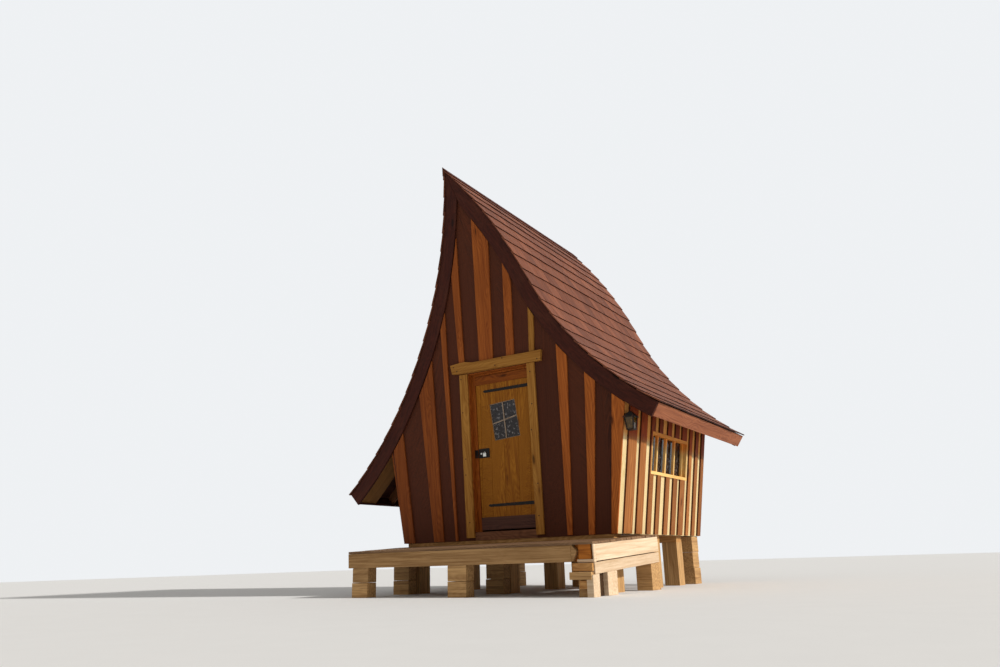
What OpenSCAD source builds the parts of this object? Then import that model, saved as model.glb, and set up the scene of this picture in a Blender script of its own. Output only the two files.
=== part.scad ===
// Crooked timber cabin with a curved, lopsided roof, on blocks, with a low deck in front.
// Millimetres. X runs along the front wall, Y from the front to the back, Z up from the ground.
// The origin is on the ground under the middle of the floor.

/* [Walls] */
// Width of the cabin across the foot of the front wall
base_w = 3040; // [2800:20:3200]
// Depth of the cabin over its front and back walls
base_l = 2680; // [2400:20:3000]
// Thickness of a wall of boards on studs
wall_t = 110; // [90:2:130]
// Height of the foot of the walls above the ground
wall_foot = 620; // [560:10:700]
// Forward lean of all the walls, and of the front edge of the roof, in degrees
front_lean = 7.2; // [5:0.2:8.6]
// Outward lean of the right side wall in degrees
right_lean = 11.2; // [8:0.2:13]
// Outward lean of the left side wall in degrees
left_lean = 5; // [3:0.2:8]

/* [Roof] */
// Distance of the peak from the middle of the floor, towards the left
peak_shift = 360; // [300:10:420]
// Height of the peak above the ground
peak_z = 5430; // [5300:10:5560]
// Radius of the hollow left slope
left_r = 5650; // [5500:10:5800]
// Angle of the left slope from upright at the peak
left_start = 2.3; // [1.5:0.1:3]
// Angle of the left slope from upright at the eave
left_end = 50.2; // [48:0.2:52]
// Radius of the bulging upper part of the right slope
right_top_r = 6205; // [6000:10:6400]
// Steepness of the right slope from upright at the peak
right_start = 42.2; // [41:0.2:43.4]
// Steepness of the right slope from upright at the knee, where the bulge ends
right_knee = 23.6; // [22.6:0.2:24.6]
// Radius of the hollow lower part of the right slope
right_low_r = 4000; // [3900:10:4100]
// Angle of the right slope from upright at the eave
right_end = 56.8; // [55:0.2:58.4]
// Thickness of the shingle layer
shingle_t = 25; // [18:1:30]
// Thickness of the roof boards under the shingles
board_t = 25; // [18:1:30]
// Depth of a rafter
rafter_h = 110; // [90:2:125]
// Thickness of a rafter
rafter_t = 45; // [38:1:60]
// Number of rafter pairs between the end walls
rafter_pairs = 3; // [2:1:4]
// Width of a bargeboard
barge_w = 180; // [160:5:200]
// Thickness of a bargeboard
barge_t = 28; // [20:1:35]
// Width of a fascia board
fascia_w = 165; // [150:5:180]
// Thickness of a fascia board
fascia_t = 25; // [20:1:30]
// Width of each ridge board
cap_w = 110; // [80:5:140]
// Thickness of a ridge board
cap_t = 12; // [8:1:18]
// How far the shingles reach past the bargeboards and fascias
shingle_lip = 14; // [8:1:20]
// Overhang behind the back wall at the height of the right eave
back_overhang = 320; // [240:10:380]
// Backward lean of the back edge of the roof in degrees
back_rake = 1.8; // [0:0.2:4]

/* [Door] */
// Width of the doorway
doorway_w = 878; // [820:2:940]
// Distance of the left foot of the doorway from the middle of the floor
doorway_left = 380; // [360:5:420]
// Height of the top of the doorway above the ground
doorway_top = 2655; // [2610:5:2700]
// Lean of the doorway towards the right in degrees
door_lean = 2.9; // [1:0.1:3.4]
// Thickness of the door leaf
leaf_t = 32; // [26:1:38]
// Depth of the leaf behind the face of the front wall
leaf_recess = 65; // [55:1:70]
// Gap round the free edges of the leaf
leaf_gap = 8; // [6:0.5:12]
// Gap between the leaf and the doorway on the hinge side
hinge_gap = 14; // [13:0.5:18]
// Width of the stile on the latch side of the doorway
stile_w = 58; // [50:1:66]
// Height of the head of the door frame
head_h = 32; // [26:1:40]
// Height of the threshold above the wall foot
threshold_h = 96; // [86:1:120]
// Width of a casing board
casing_w = 120; // [100:2:140]
// Thickness of a casing board
casing_t = 24; // [18:1:30]
// Height of the lintel board
lintel_h = 155; // [130:1:170]
// Thickness of the lintel board
lintel_t = 45; // [35:1:60]
// Width of the window in the door
pane_w = 372; // [340:2:400]
// Height of the window in the door
pane_h = 450; // [420:2:480]
// Lean of the upright edges of that window in degrees
pane_lean = 4.2; // [0:0.2:8]
// Slope of its level edges in degrees
pane_rise = 4.2; // [0:0.1:6]
// Height of the head board on the leaf
head_board_h = 106; // [90:2:130]
// Height of the kick board on the leaf
kick_board_h = 152; // [130:2:170]
// Thickness of the boards fixed on the face of the leaf
face_board_t = 12; // [8:1:16]
// Width of a strap hinge
strap_h = 40; // [32:1:48]
// Thickness of a strap hinge
strap_t = 5; // [4:0.5:6]
// Radius of a hinge pin
pin_r = 4.5; // [4:0.1:5]
// Radius of a hinge barrel
barrel_r = 7.5; // [7:0.1:8]
// Gap between a pin and its barrel
pin_gap = 0.4; // [0.3:0.1:0.6]

/* [Side window] */
// Distance of the front edge of the side window, carried down to the wall's foot, from its middle
window_front = 576; // [530:1:620]
// Width of the side window over its frame
window_w = 1262; // [1200:2:1320]
// Height of the side window over its frame
window_h = 495; // [460:5:540]
// Height of the foot of the side window above the ground
window_z = 1336; // [1300:2:1380]
// Width of a member of the window frame
window_bar = 52; // [40:1:60]
// How far the window frame stands out of the wall
window_proud = 18; // [10:1:25]
// Distance of the glass from the inner face of the wall
glass_back = 15; // [8:1:40]
// Thickness of window glass
glass_t = 6; // [4:0.5:8]

/* [Foundation] */
// Height of a cross bearer
bearer_h = 80; // [70:2:100]
// Width of a cross bearer
bearer_w = 190; // [160:5:210]
// How far the ends of the bearers lie behind the face of the side walls
bearer_inset = 60; // [50:2:70]
// Width of a pier block
pier_w = 200; // [170:5:220]
// Thickness of the floor platform
floor_t = 80; // [60:2:90]

/* [Deck] */
// Depth of the deck in front of the cabin
deck_depth = 955; // [850:5:1050]
// How far the deck reaches past the right side wall at its foot
deck_side = 150; // [130:5:180]
// Length of the side timbers beside the cabin
deck_return = 764; // [600:4:860]
// Fall of the deck towards the front in degrees
deck_fall = 3; // [1:0.1:4]
// Height of the top of the timbers at the front edge
deck_z = 500; // [480:5:520]
// Width of a deck timber
timber_w = 190; // [160:5:210]
// Height of an upper deck timber
timber_h = 166; // [150:2:180]
// Height of a lower side timber
low_timber_h = 122; // [100:2:140]
// Thickness of the deck boards
deck_board_t = 26; // [20:1:32]
// Width of a block under the front timber
crib_w = 255; // [220:5:280]

/* [Lantern] */
// Height of the middle of the lantern above the ground
lantern_z = 1830; // [1800:5:1860]
// Distance of the lantern behind the front wall's face
lantern_y = 40; // [36:1:60]
// Width of the lantern body at its top
lantern_w = 88; // [70:2:110]
// Width of the lantern body at its foot
lantern_foot_w = 58; // [40:2:68]
// Height of the lantern body
lantern_h = 130; // [110:2:150]
// Reach of the bracket from the wall to the middle of the lantern
lantern_reach = 75; // [66:1:90]

/* [Hidden] */

// Fine enough to count as true circles: small round parts, and the long arcs of the roof
$fn = 96;
arc_fn = 256;
// Longer than anything it cuts: in a flat outline, and in space to either side
far = 9000;
reach = 2600;
half_w = base_w / 2;
half_l = base_l / 2;
inner_l = half_l - wall_t;
floor_top = wall_foot + floor_t;

// Roof line: three arcs, given by their centres. The roof line is the top of the shingles.
function toward(a) = [cos(a), sin(a)];
peak = [-peak_shift, peak_z];
left_centre = peak - left_r * toward(-left_start);
right_top_centre = peak - right_top_r * toward(right_start);
knee = right_top_centre + right_top_r * toward(right_knee);
right_low_centre = knee + right_low_r * toward(right_knee);
left_in = toward(-left_start);
right_in = -toward(right_start);
mitre = (left_in + right_in) / norm(left_in + right_in);
left_eave = left_centre + left_r * toward(-left_end);
right_eave = right_low_centre - right_low_r * toward(right_end);
rafter_top = shingle_t + board_t;
// The walls stop this far below the roof boards
seat_gap = 0.3;
rake_z = right_eave[1];
left_foot = [-half_w, wall_foot];
left_up = [-sin(left_lean), cos(left_lean)];

// Places on the front wall, all given for the height of its foot
wall_face = -half_l;
leaf_face = wall_face + leaf_recess;
threshold_top = wall_foot + threshold_h;
// The hinges lean with the wall, so the leaf sinks as it swings out over the threshold
leaf_sink = (leaf_recess + leaf_t) * tan(front_lean);
leaf_foot = threshold_top + leaf_gap + leaf_sink;
leaf_top = doorway_top - head_h - leaf_gap;
leaf_x0 = stile_w + leaf_gap;
leaf_x1 = doorway_w - hinge_gap;
// The hinge axis lies just in front of the leaf, above its right edge
axis_y = leaf_face - barrel_r / cos(front_lean);
low_strap_rise = 291;
high_strap_drop = 69;
strap_z = [leaf_foot + low_strap_rise, leaf_top - head_board_h - high_strap_drop - strap_h / 2];

// Rows of piers, from the front to the back, and the front face of the first bearer
pier_ys = [-half_l + pier_w / 2 + 10, -80, 700];
bearer_face = pier_ys[0] - bearer_w / 2;

// Deck
deck_front = wall_face - deck_depth;
deck_left = -half_w - 80;
deck_right = half_w + deck_side;
side_timber_l = deck_depth + deck_return;

// Everything that runs from front to back is a profile in X and Z, stretched along Y
module along_y(y0, y1) {
    translate([0, y1, 0]) rotate([90, 0, 0]) linear_extrude(y1 - y0) children();
}

// Front wall's face at a height
function front_face(z) = wall_face - (z - wall_foot) * tan(front_lean);

// Solid between two leaning planes, given by their places at a height. The first leans as the walls do.
module between_leans(z, front, back, back_lean) {
    low = -z;
    high = 2 * reach;
    translate([-reach, 0, z]) rotate([90, 0, 90]) linear_extrude(2 * reach)
        polygon([
            [front - low * tan(front_lean), low], [back + low * tan(back_lean), low],
            [back + high * tan(back_lean), high], [front - high * tan(front_lean), high]
        ]);
}

// Solid between the two leaning ends of the roof, moved in by the two insets.
// The front bargeboards lie against the front wall.
module between_rakes(front_inset, back_inset) {
    between_leans(rake_z, front_face(rake_z) - seat_gap - barge_t + front_inset,
        half_l + back_overhang - back_inset, back_rake);
}

// Profile stretched between two planes that lean with the walls, given by their places at the walls' foot
module leaning_y(y0, y1) {
    intersection() {
        along_y(-reach, reach) children();
        between_leans(wall_foot, y0, y1, -front_lean);
    }
}

// Slice of the plane from angle a0 to angle a1 round a centre
module sector(centre, a0, a1) {
    translate(centre)
        polygon([[0, 0], 2 * far * toward(a0), 2 * far * toward((a0 + a1) / 2), 2 * far * toward(a1)]);
}

// Angle round a centre at which a circle meets the line that runs on from a point
function meet_angle(centre, r, point, along) =
    let (v = point - centre, b = v * along, t = sign(b) * sqrt(b * b - v * v + r * r) - b, p = v + t * along)
    atan2(p[1], p[0]);

// Disc with one corner of its fine outline at the angle where an exact place matters most
module disc(centre, r, corner = 0) {
    translate(centre) rotate(corner) circle(r, $fn = arc_fn);
}

// Ring between two radii, exact where it meets the line between the two slopes
module ring(centre, r0, r1) {
    difference() {
        disc(centre, r1, meet_angle(centre, r1, peak, mitre));
        disc(centre, r0, meet_angle(centre, r0, peak, mitre));
    }
}

// Half of the plane on one side of the line on which the two slopes meet
module mitre_side(side) {
    polygon([
        peak - far * mitre, peak + far * mitre,
        peak + far * mitre + [side * far, 0], peak - far * mitre + [side * far, 0]
    ]);
}

// Band of the left slope between two depths below the roof line; past moves its eave end
module left_band(d0, d1, past = 0) {
    intersection() {
        ring(left_centre, left_r + d0, left_r + d1);
        sector(left_centre, -left_end - past / left_r * 180 / PI, 6);
        mitre_side(-1);
    }
}

// All that lies under the right slope at a depth: inside its upper arc, and left of its lower one
module right_under(d, past = 0) {
    top_r = right_top_r - d;
    low_end = 180 + right_end + past / right_low_r * 180 / PI;
    intersection() {
        disc(right_top_centre, top_r, meet_angle(right_top_centre, top_r, peak, mitre));
        sector(right_top_centre, right_knee - 20, right_start + 6);
    }
    difference() {
        sector(right_low_centre, 180 + right_knee, low_end);
        disc(right_low_centre, right_low_r + d, right_end);
    }
}

// Band of the right slope between two depths below the roof line; past moves its eave end
module right_band(d0, d1, past = 0) {
    intersection() {
        difference() {
            right_under(d0, past);
            right_under(d1, past);
        }
        mitre_side(1);
    }
}

// All that lies under the roof at a depth below the roof line
module under_roof(d) {
    difference() {
        translate([-far / 2, 0]) square([far, far]);
        disc(left_centre, left_r + d, meet_angle(left_centre, left_r + d, left_foot, left_up));
        difference() {
            sector(right_top_centre, right_knee, 100);
            disc(right_top_centre, right_top_r - d);
        }
        disc(right_low_centre, right_low_r + d);
        translate([-far / 2, peak_z]) square([far, far]);
    }
}

// Outline of the cabin's body: its foot and the two leaning sides, moved in by an inset
module body_outline(inset = 0) {
    left_x = -half_w + inset / cos(left_lean);
    right_x = half_w - inset / cos(right_lean);
    high = peak_z - wall_foot;
    polygon([
        [left_x, wall_foot], [right_x, wall_foot],
        [right_x + high * tan(right_lean), peak_z], [left_x - high * tan(left_lean), peak_z]
    ]);
}

module end_wall_face() {
    intersection() {
        body_outline();
        under_roof(rafter_top + seat_gap);
    }
}

// Leaning strip of a side wall's thickness, side 1 for the right one and -1 for the left one
module side_wall_strip(side) {
    intersection() {
        difference() {
            body_outline();
            body_outline(wall_t);
        }
        translate([side > 0 ? 0 : -far, wall_foot]) square([far, far]);
    }
}

module side_wall_section(side) {
    intersection() {
        side_wall_strip(side);
        under_roof(rafter_top + seat_gap);
    }
}

// Left edge of the doorway at a height, and a point measured across it from there
function doorway_x(across, z) = -doorway_left + across + (z - floor_top) * tan(door_lean);

// Upright board that leans with the doorway
module leaning_board(x0, x1, z0, z1) {
    polygon([
        [doorway_x(x0, z0), z0], [doorway_x(x1, z0), z0],
        [doorway_x(x1, z1), z1], [doorway_x(x0, z1), z1]
    ]);
}

// Corner of the window in the door: u and v run from 0 to 1 across and up
pane_foot = [-11, 1801];
function pane_corner(u, v) = pane_foot
    + u * pane_w * [cos(pane_rise), sin(pane_rise)]
    + v * pane_h * [-sin(pane_lean), cos(pane_lean)];

module pane_outline() {
    polygon([pane_corner(0, 0), pane_corner(1, 0), pane_corner(1, 1), pane_corner(0, 1)]);
}

// Foundation

module cross_bearers() {
    color([0.80, 0.64, 0.42])
    for (y = pier_ys)
        translate([-half_w + bearer_inset, y - bearer_w / 2, wall_foot - bearer_h])
            cube([base_w - 2 * bearer_inset, bearer_w, bearer_h]);
}

module pier_blocks() {
    color([0.72, 0.58, 0.40])
    for (y = pier_ys, x = [-half_w + bearer_inset, -pier_w / 2, half_w - bearer_inset - pier_w])
        translate([x, y - pier_w / 2, 0]) cube([pier_w, pier_w, wall_foot - bearer_h]);
}

module floor_platform() {
    color([0.62, 0.44, 0.26])
    leaning_y(-inner_l, inner_l) intersection() {
        body_outline(wall_t);
        translate([-far / 2, wall_foot]) square([far, floor_t]);
    }
}

// Walls

module front_wall_left() {
    color([0.30, 0.15, 0.10])
    leaning_y(wall_face, wall_face + wall_t) intersection() {
        end_wall_face();
        leaning_board(-far / 2, 0, wall_foot, doorway_top);
    }
}

module front_wall_right() {
    color([0.30, 0.15, 0.10])
    leaning_y(wall_face, wall_face + wall_t) intersection() {
        end_wall_face();
        leaning_board(doorway_w, far / 2, wall_foot, doorway_top);
    }
}

module front_wall_top() {
    color([0.30, 0.15, 0.10])
    leaning_y(wall_face, wall_face + wall_t) intersection() {
        end_wall_face();
        translate([-far / 2, doorway_top]) square([far, far]);
    }
}

module back_wall() {
    color([0.30, 0.15, 0.10])
    leaning_y(half_l - wall_t, half_l) end_wall_face();
}

module left_wall() {
    color([0.62, 0.36, 0.18])
    leaning_y(-inner_l, inner_l) side_wall_section(-1);
}

window_back = -window_front + window_w;
window_top = window_z + window_h;

module right_wall_front() {
    color([0.80, 0.50, 0.28])
    leaning_y(-inner_l, -window_front) side_wall_section(1);
}

module right_wall_back() {
    color([0.80, 0.50, 0.28])
    leaning_y(window_back, inner_l) side_wall_section(1);
}

// The strips of wall below and above the window
module right_wall_middle() {
    color([0.80, 0.50, 0.28])
    leaning_y(-window_front, window_back) difference() {
        side_wall_section(1);
        translate([0, window_z]) square([far, window_h]);
    }
}

// Roof

// Rafters stop at the wall on the inside and go on outside it as tails
rafter_step = 2 * inner_l / (rafter_pairs + 1);
rafter_ys = [for (i = [1 : rafter_pairs]) -inner_l + i * rafter_step];

module rafters(side) {
    for (y = rafter_ys)
        leaning_y(y - rafter_t / 2, y + rafter_t / 2) difference() {
            slope_band(side, rafter_top, rafter_top + rafter_h, -fascia_t);
            side_wall_strip(side);
        }
    fly_rafter(side, 0);
    fly_rafter(side, 1);
}

// A profile stretched over one half of the cabin, end 0 at the front and end 1 at the back
module along_end(end) {
    along_y(end > 0 ? 0 : -reach, end > 0 ? reach : 0) children();
}

// All that lies behind the front edge of the roof, or before its back edge, by an inset
module before_rake(end, inset) {
    between_rakes(end > 0 ? -reach : inset, end > 0 ? inset : -reach);
}

module slope_band(side, d0, d1, past = 0) {
    if (side > 0)
        right_band(d0, d1, past);
    else
        left_band(d0, d1, past);
}

// Rafter behind a bargeboard, end 0 at the front and end 1 at the back. At the front the wall stands
// behind the bargeboards, and only a tail outside the side wall is left of the rafter.
module fly_rafter(side, end) {
    difference() {
        intersection() {
            along_end(end) difference() {
                slope_band(side, rafter_top, rafter_top + rafter_h, -fascia_t);
                if (end == 0) body_outline();
            }
            between_rakes(barge_t, barge_t);
        }
        before_rake(end, barge_t + rafter_t);
    }
}

module rafters_left() {
    color([0.66, 0.46, 0.26]) rafters(-1);
}

module rafters_right() {
    color([0.66, 0.46, 0.26]) rafters(1);
}

module roof_layer(side, d0, d1, past, inset) {
    intersection() {
        along_y(-reach, reach) slope_band(side, d0, d1, past);
        between_rakes(inset, inset);
    }
}

module roof_boards_left() {
    color([0.50, 0.34, 0.22]) roof_layer(-1, shingle_t, rafter_top, -fascia_t, barge_t);
}

module roof_boards_right() {
    color([0.50, 0.34, 0.22]) roof_layer(1, shingle_t, rafter_top, -fascia_t, barge_t);
}

module shingles_left() {
    color([0.52, 0.36, 0.30]) roof_layer(-1, 0, shingle_t, shingle_lip, -shingle_lip);
}

module shingles_right() {
    color([0.62, 0.42, 0.34]) roof_layer(1, 0, shingle_t, shingle_lip, -shingle_lip);
}

module ridge_boards() {
    color([0.40, 0.26, 0.22])
    intersection() {
        along_y(-reach, reach) {
            intersection() {
                left_band(-cap_t, 0);
                sector(left_centre, -left_start - cap_w / left_r * 180 / PI, 6);
            }
            intersection() {
                right_band(-cap_t, 0);
                sector(right_top_centre, right_start - cap_w / right_top_r * 180 / PI, right_start + 6);
            }
        }
        between_rakes(-shingle_lip, -shingle_lip);
    }
}

// Bargeboard that follows one slope, end 0 at the front and end 1 at the back
module bargeboard(side, end) {
    difference() {
        intersection() {
            along_end(end) slope_band(side, shingle_t, shingle_t + barge_w);
            between_rakes(0, 0);
        }
        before_rake(end, barge_t);
    }
}

module barge_front_left() {
    color([0.26, 0.13, 0.12]) bargeboard(-1, 0);
}

module barge_front_right() {
    color([0.26, 0.13, 0.12]) bargeboard(1, 0);
}

module barge_back_left() {
    color([0.26, 0.13, 0.12]) bargeboard(-1, 1);
}

module barge_back_right() {
    color([0.26, 0.13, 0.12]) bargeboard(1, 1);
}

// Board across the ends of the rafters, square to the slope
module fascia(eave, turn, side) {
    intersection() {
        along_y(-reach, reach)
            translate(eave) rotate(turn)
                translate([shingle_t, side > 0 ? -fascia_t : 0]) square([fascia_w, fascia_t]);
        between_rakes(barge_t, barge_t);
    }
}

module fascia_left() {
    color([0.40, 0.24, 0.18]) fascia(left_eave, -left_end, -1);
}

module fascia_right() {
    color([0.70, 0.45, 0.36]) fascia(right_eave, 180 + right_end, 1);
}

// Door surround

module door_casings() {
    foot = wall_foot + 30;
    color([0.80, 0.60, 0.30])
    leaning_y(wall_face - casing_t, wall_face) {
        leaning_board(-casing_w, 0, foot, doorway_top);
        leaning_board(doorway_w, doorway_w + casing_w, foot, doorway_top);
    }
}

// The lintel has a live upper edge, with a shoulder near its left end
module lintel() {
    left_past = 107;
    right_past = 90;
    left = doorway_x(-casing_w, doorway_top) - left_past;
    right = doorway_x(doorway_w + casing_w, doorway_top) + right_past;
    top = doorway_top + lintel_h;
    left_drop = 14;
    shoulder = 200;
    middle_drop = 24;
    right_drop = 26;
    end_slant = 17;
    color([0.82, 0.62, 0.32])
    leaning_y(wall_face - lintel_t, wall_face)
        polygon([
            [left, doorway_top], [right, doorway_top],
            [right + end_slant, top - right_drop], [(left + right) / 2, top - middle_drop],
            [left + shoulder, top], [left, top - left_drop]
        ]);
}

// Stile on the latch side, head, and a stop strip on the hinge side, all behind the wall's face
module door_frame() {
    stop_clear = 1;
    stop_t = wall_t - leaf_recess - leaf_t - stop_clear;
    stop_w = 34;
    head_z = doorway_top - head_h;
    color([0.70, 0.48, 0.24])
    difference() {
        leaning_y(leaf_face, wall_face + wall_t) difference() {
            leaning_board(0, doorway_w, threshold_top, doorway_top);
            leaning_board(stile_w, doorway_w - stop_w, wall_foot, head_z);
        }
        leaning_y(wall_face, wall_face + wall_t - stop_t)
            leaning_board(stile_w, doorway_w + wall_t, wall_foot, head_z);
    }
}

module threshold() {
    color([0.45, 0.28, 0.18])
    leaning_y(wall_face, wall_face + wall_t)
        leaning_board(0, doorway_w, wall_foot, threshold_top);
}

// Door leaf and what it carries

module door_leaf() {
    color([0.66, 0.44, 0.18])
    leaning_y(leaf_face, leaf_face + leaf_t) difference() {
        leaning_board(leaf_x0, leaf_x1, leaf_foot, leaf_top);
        pane_outline();
    }
}

module door_glass() {
    middle = leaf_face + leaf_t / 2;
    color([0.70, 0.78, 0.85, 0.5])
    leaning_y(middle - glass_t / 2, middle + glass_t / 2) pane_outline();
}

// Head board and kick board across the face of the leaf
module door_face_boards() {
    x1 = leaf_x1 - 2 * barrel_r;
    color([0.50, 0.28, 0.16])
    leaning_y(leaf_face - face_board_t, leaf_face) {
        leaning_board(leaf_x0, x1, leaf_top - head_board_h, leaf_top);
        leaning_board(leaf_x0, x1, leaf_foot, leaf_foot + kick_board_h);
    }
}

// Two boards across the inner face
module door_ledges() {
    ledge_t = 20;
    ledge_h = 110;
    ledge_inset = 45;
    color([0.62, 0.42, 0.20])
    for (z = strap_z)
        leaning_y(leaf_face + leaf_t, leaf_face + leaf_t + ledge_t)
            leaning_board(leaf_x0 + ledge_inset, leaf_x1 - ledge_inset, z - ledge_h / 2, z + ledge_h / 2);
}

// Point on the hinge axis at a height
function axis_point(z) = [doorway_x(leaf_x1, z), axis_y - (z - wall_foot) * tan(front_lean), z];

// Frame on the hinge axis, with Z along it
module barrel_place(z) {
    forward = atan(tan(front_lean) * cos(door_lean));
    translate(axis_point(z)) rotate([forward, door_lean, 0]) children();
}

strap_l = 690;

module hinge_straps() {
    color([0.10, 0.09, 0.08])
    for (z = strap_z)
        difference() {
            union() {
                leaning_y(leaf_face - strap_t, leaf_face) strap_outline(doorway_x(leaf_x1, z), z);
                barrel_place(z) cylinder(h = strap_h, r = barrel_r, center = true);
            }
            barrel_place(z) cylinder(h = 2 * strap_h, r = pin_r + pin_gap, center = true);
        }
}

// Strap that narrows to a point at its free end
module strap_outline(x, z) {
    tip_l = strap_h * 0.55;
    tip_h = strap_h * 0.38;
    tip_x = x - strap_l;
    polygon([
        [x, z - strap_h / 2], [x, z + strap_h / 2],
        [tip_x + tip_l, z + tip_h], [tip_x, z], [tip_x + tip_l, z - tip_h]
    ]);
}

// Pins with the plates that hold them to the side of the doorway
module hinge_pins() {
    plate_t = 4;
    knob_h = 8;
    pin_top = 6;
    washer_gap = 2;
    foot = -strap_h / 2 - washer_gap - knob_h;
    block_l = (hinge_gap - plate_t / 2) * cos(door_lean);
    color([0.10, 0.09, 0.08])
    for (z = strap_z) {
        barrel_place(z) translate([0, 0, foot]) {
            cylinder(h = knob_h + washer_gap + strap_h + pin_top, r = pin_r);
            cylinder(h = knob_h, r = barrel_r);
            translate([0, -pin_r, 0]) cube([block_l, 2 * pin_r, knob_h]);
        }
        leaning_y(leaf_face - 2 * barrel_r, leaf_face)
            leaning_board(doorway_w - plate_t, doorway_w, z - strap_h, z + strap_h);
    }
}

hasp_z = 1664;
hasp_w = 158;
hasp_h = 112;
hasp_t = 6;
hasp_inset = 4;

module hasp() {
    color([0.10, 0.09, 0.09])
    leaning_y(leaf_face - hasp_t, leaf_face)
        leaning_board(leaf_x0 + hasp_inset, leaf_x0 + hasp_inset + hasp_w,
            hasp_z - hasp_h / 2, hasp_z + hasp_h / 2);
}

// Small padlock hanging flat on the hasp
module padlock() {
    body_w = 44;
    body_h = 40;
    body_t = 16;
    bow_r = 13;
    bow_wire = 3.5;
    across = 0.58;
    x = doorway_x(leaf_x0 + hasp_inset + across * hasp_w, hasp_z);
    face = front_face(hasp_z) + leaf_recess - hasp_t;
    color([0.75, 0.74, 0.70])
    translate([x, face, hasp_z]) rotate([front_lean, 0, 0]) {
        translate([-body_w / 2, -body_t, -body_h]) cube([body_w, body_t, body_h]);
        translate([0, -body_t / 2, 0]) rotate([90, 0, 0])
            rotate_extrude(angle = 180, $fn = 64) translate([bow_r, 0]) circle(bow_wire, $fn = 32);
    }
}

// Side window, set in the leaning right wall

// Frame of a place in the right wall: X out of the wall, Y along it, Z up the slope of the wall
module in_right_wall() {
    translate([half_w, 0, wall_foot]) rotate([0, right_lean, 0]) children();
}

// Height up the slope of the wall for a height above the ground
function up_wall(z) = (z - wall_foot) / cos(right_lean);

// Strip of the section along the right wall, from one distance out of its face to another
module window_band(out0, out1) {
    translate([half_w, wall_foot]) rotate(-right_lean)
        translate([out0, -far / 2]) square([out1 - out0, far]);
}

// Part of that strip between two heights
module window_strip(out0, out1, z0, z1) {
    intersection() {
        window_band(out0, out1);
        translate([0, z0]) square([far, z1 - z0]);
    }
}

module window_frame() {
    color([0.78, 0.52, 0.26])
    difference() {
        leaning_y(-window_front, window_back)
            window_strip(-wall_t, window_proud, window_z, window_top);
        leaning_y(-window_front + window_bar, window_back - window_bar)
            window_strip(-2 * wall_t, wall_t, window_z + window_bar, window_top - window_bar);
    }
}

module window_glass() {
    inner = glass_back - wall_t;
    color([0.70, 0.78, 0.85, 0.5])
    leaning_y(-window_front + window_bar, window_back - window_bar)
        window_strip(inner, inner + glass_t, window_z + window_bar, window_top - window_bar);
}

// Lantern on a bracket

lantern_top = lantern_z + lantern_h / 2;
roof_h = 38;
arm = 14;
arm_z = lantern_top + roof_h;
arm_x = half_w + (arm_z + arm - wall_foot) * tan(right_lean);
lantern_x = arm_x + lantern_reach;
lantern_mid_y = front_face(lantern_z) + lantern_y;

module at_lantern(z) {
    translate([lantern_x, lantern_mid_y, z]) rotate(45) children();
}

// Four-sided body that narrows towards its foot
module lantern_body(inset) {
    top_r = (lantern_w / 2 - inset) * sqrt(2);
    foot_r = (lantern_foot_w / 2 - inset) * sqrt(2);
    cylinder(h = lantern_h, r1 = foot_r, r2 = top_r, $fn = 4);
}

module lantern_frame() {
    rim = 8;
    base_h = 10;
    ring_r = 14;
    ring_h = 22;
    plate_w = 50;
    plate_h = 120;
    plate_t = 10;
    foot_z = lantern_z - lantern_h / 2;
    corner = (lantern_foot_w - rim) / 2 * sqrt(2);
    corner_lean = atan((lantern_w - lantern_foot_w) / 2 * sqrt(2) / lantern_h);
    color([0.12, 0.10, 0.09]) {
        at_lantern(lantern_top) cylinder(h = roof_h, r1 = lantern_w * 0.62 * sqrt(2), r2 = 24, $fn = 4);
        at_lantern(arm_z) cylinder(h = ring_h, r = ring_r);
        at_lantern(foot_z - base_h) cylinder(h = base_h, r = lantern_foot_w / 2 * sqrt(2), $fn = 4);
        for (a = [0 : 90 : 270])
            at_lantern(foot_z) rotate(a) translate([corner, 0, 0]) rotate([0, corner_lean, 0])
                translate([-rim / 2, -rim / 2, -2]) cube([rim, rim, lantern_h + 6]);
        translate([arm_x, lantern_mid_y - arm / 2, arm_z]) cube([lantern_reach, arm, arm]);
        in_right_wall() translate([0, lantern_mid_y - plate_w / 2, up_wall(arm_z) - plate_h / 2])
            cube([plate_t, plate_w, plate_h]);
    }
}

module lantern_glass() {
    color([0.85, 0.70, 0.30, 0.6])
    at_lantern(lantern_z - lantern_h / 2) lantern_body(9);
}

// Deck of heavy timbers, which falls towards the front

// Frame whose origin is at the front edge, at the top of the timbers
module on_deck() {
    translate([0, deck_front, deck_z]) rotate([deck_fall, 0, 0]) children();
}

deck_l = deck_depth / cos(deck_fall);
side_l = side_timber_l / cos(deck_fall);
side_x = deck_right - timber_w;

// The boards run under the wall to the first bearer, and on beside the cabin
module deck_boards() {
    side_gap = 4;
    color([0.55, 0.42, 0.28])
    difference() {
        on_deck() linear_extrude(deck_board_t) polygon([
            [deck_left, 0], [deck_right, 0], [deck_right, side_l], [half_w + side_gap, side_l],
            [half_w + side_gap, deck_l], [half_w - bearer_inset, deck_l],
            [half_w - bearer_inset, deck_l + deck_board_t], [deck_left, deck_l + deck_board_t]
        ]);
        translate([-reach, bearer_face, 0])
            cube([reach + half_w - bearer_inset, reach, wall_foot]);
    }
}

module deck_cross_timbers() {
    color([0.78, 0.66, 0.46])
    on_deck()
        for (y = [0, deck_l - timber_w])
            translate([deck_left, y, -timber_h]) cube([side_x - deck_left, timber_w, timber_h]);
}

module deck_side_timber() {
    color([0.86, 0.74, 0.54])
    on_deck() translate([side_x, 0, -timber_h]) cube([timber_w, side_l, timber_h]);
}

module deck_low_timber() {
    color([0.84, 0.72, 0.52])
    on_deck() translate([side_x, 0, -timber_h - low_timber_h]) cube([timber_w, side_l, low_timber_h]);
}

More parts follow.
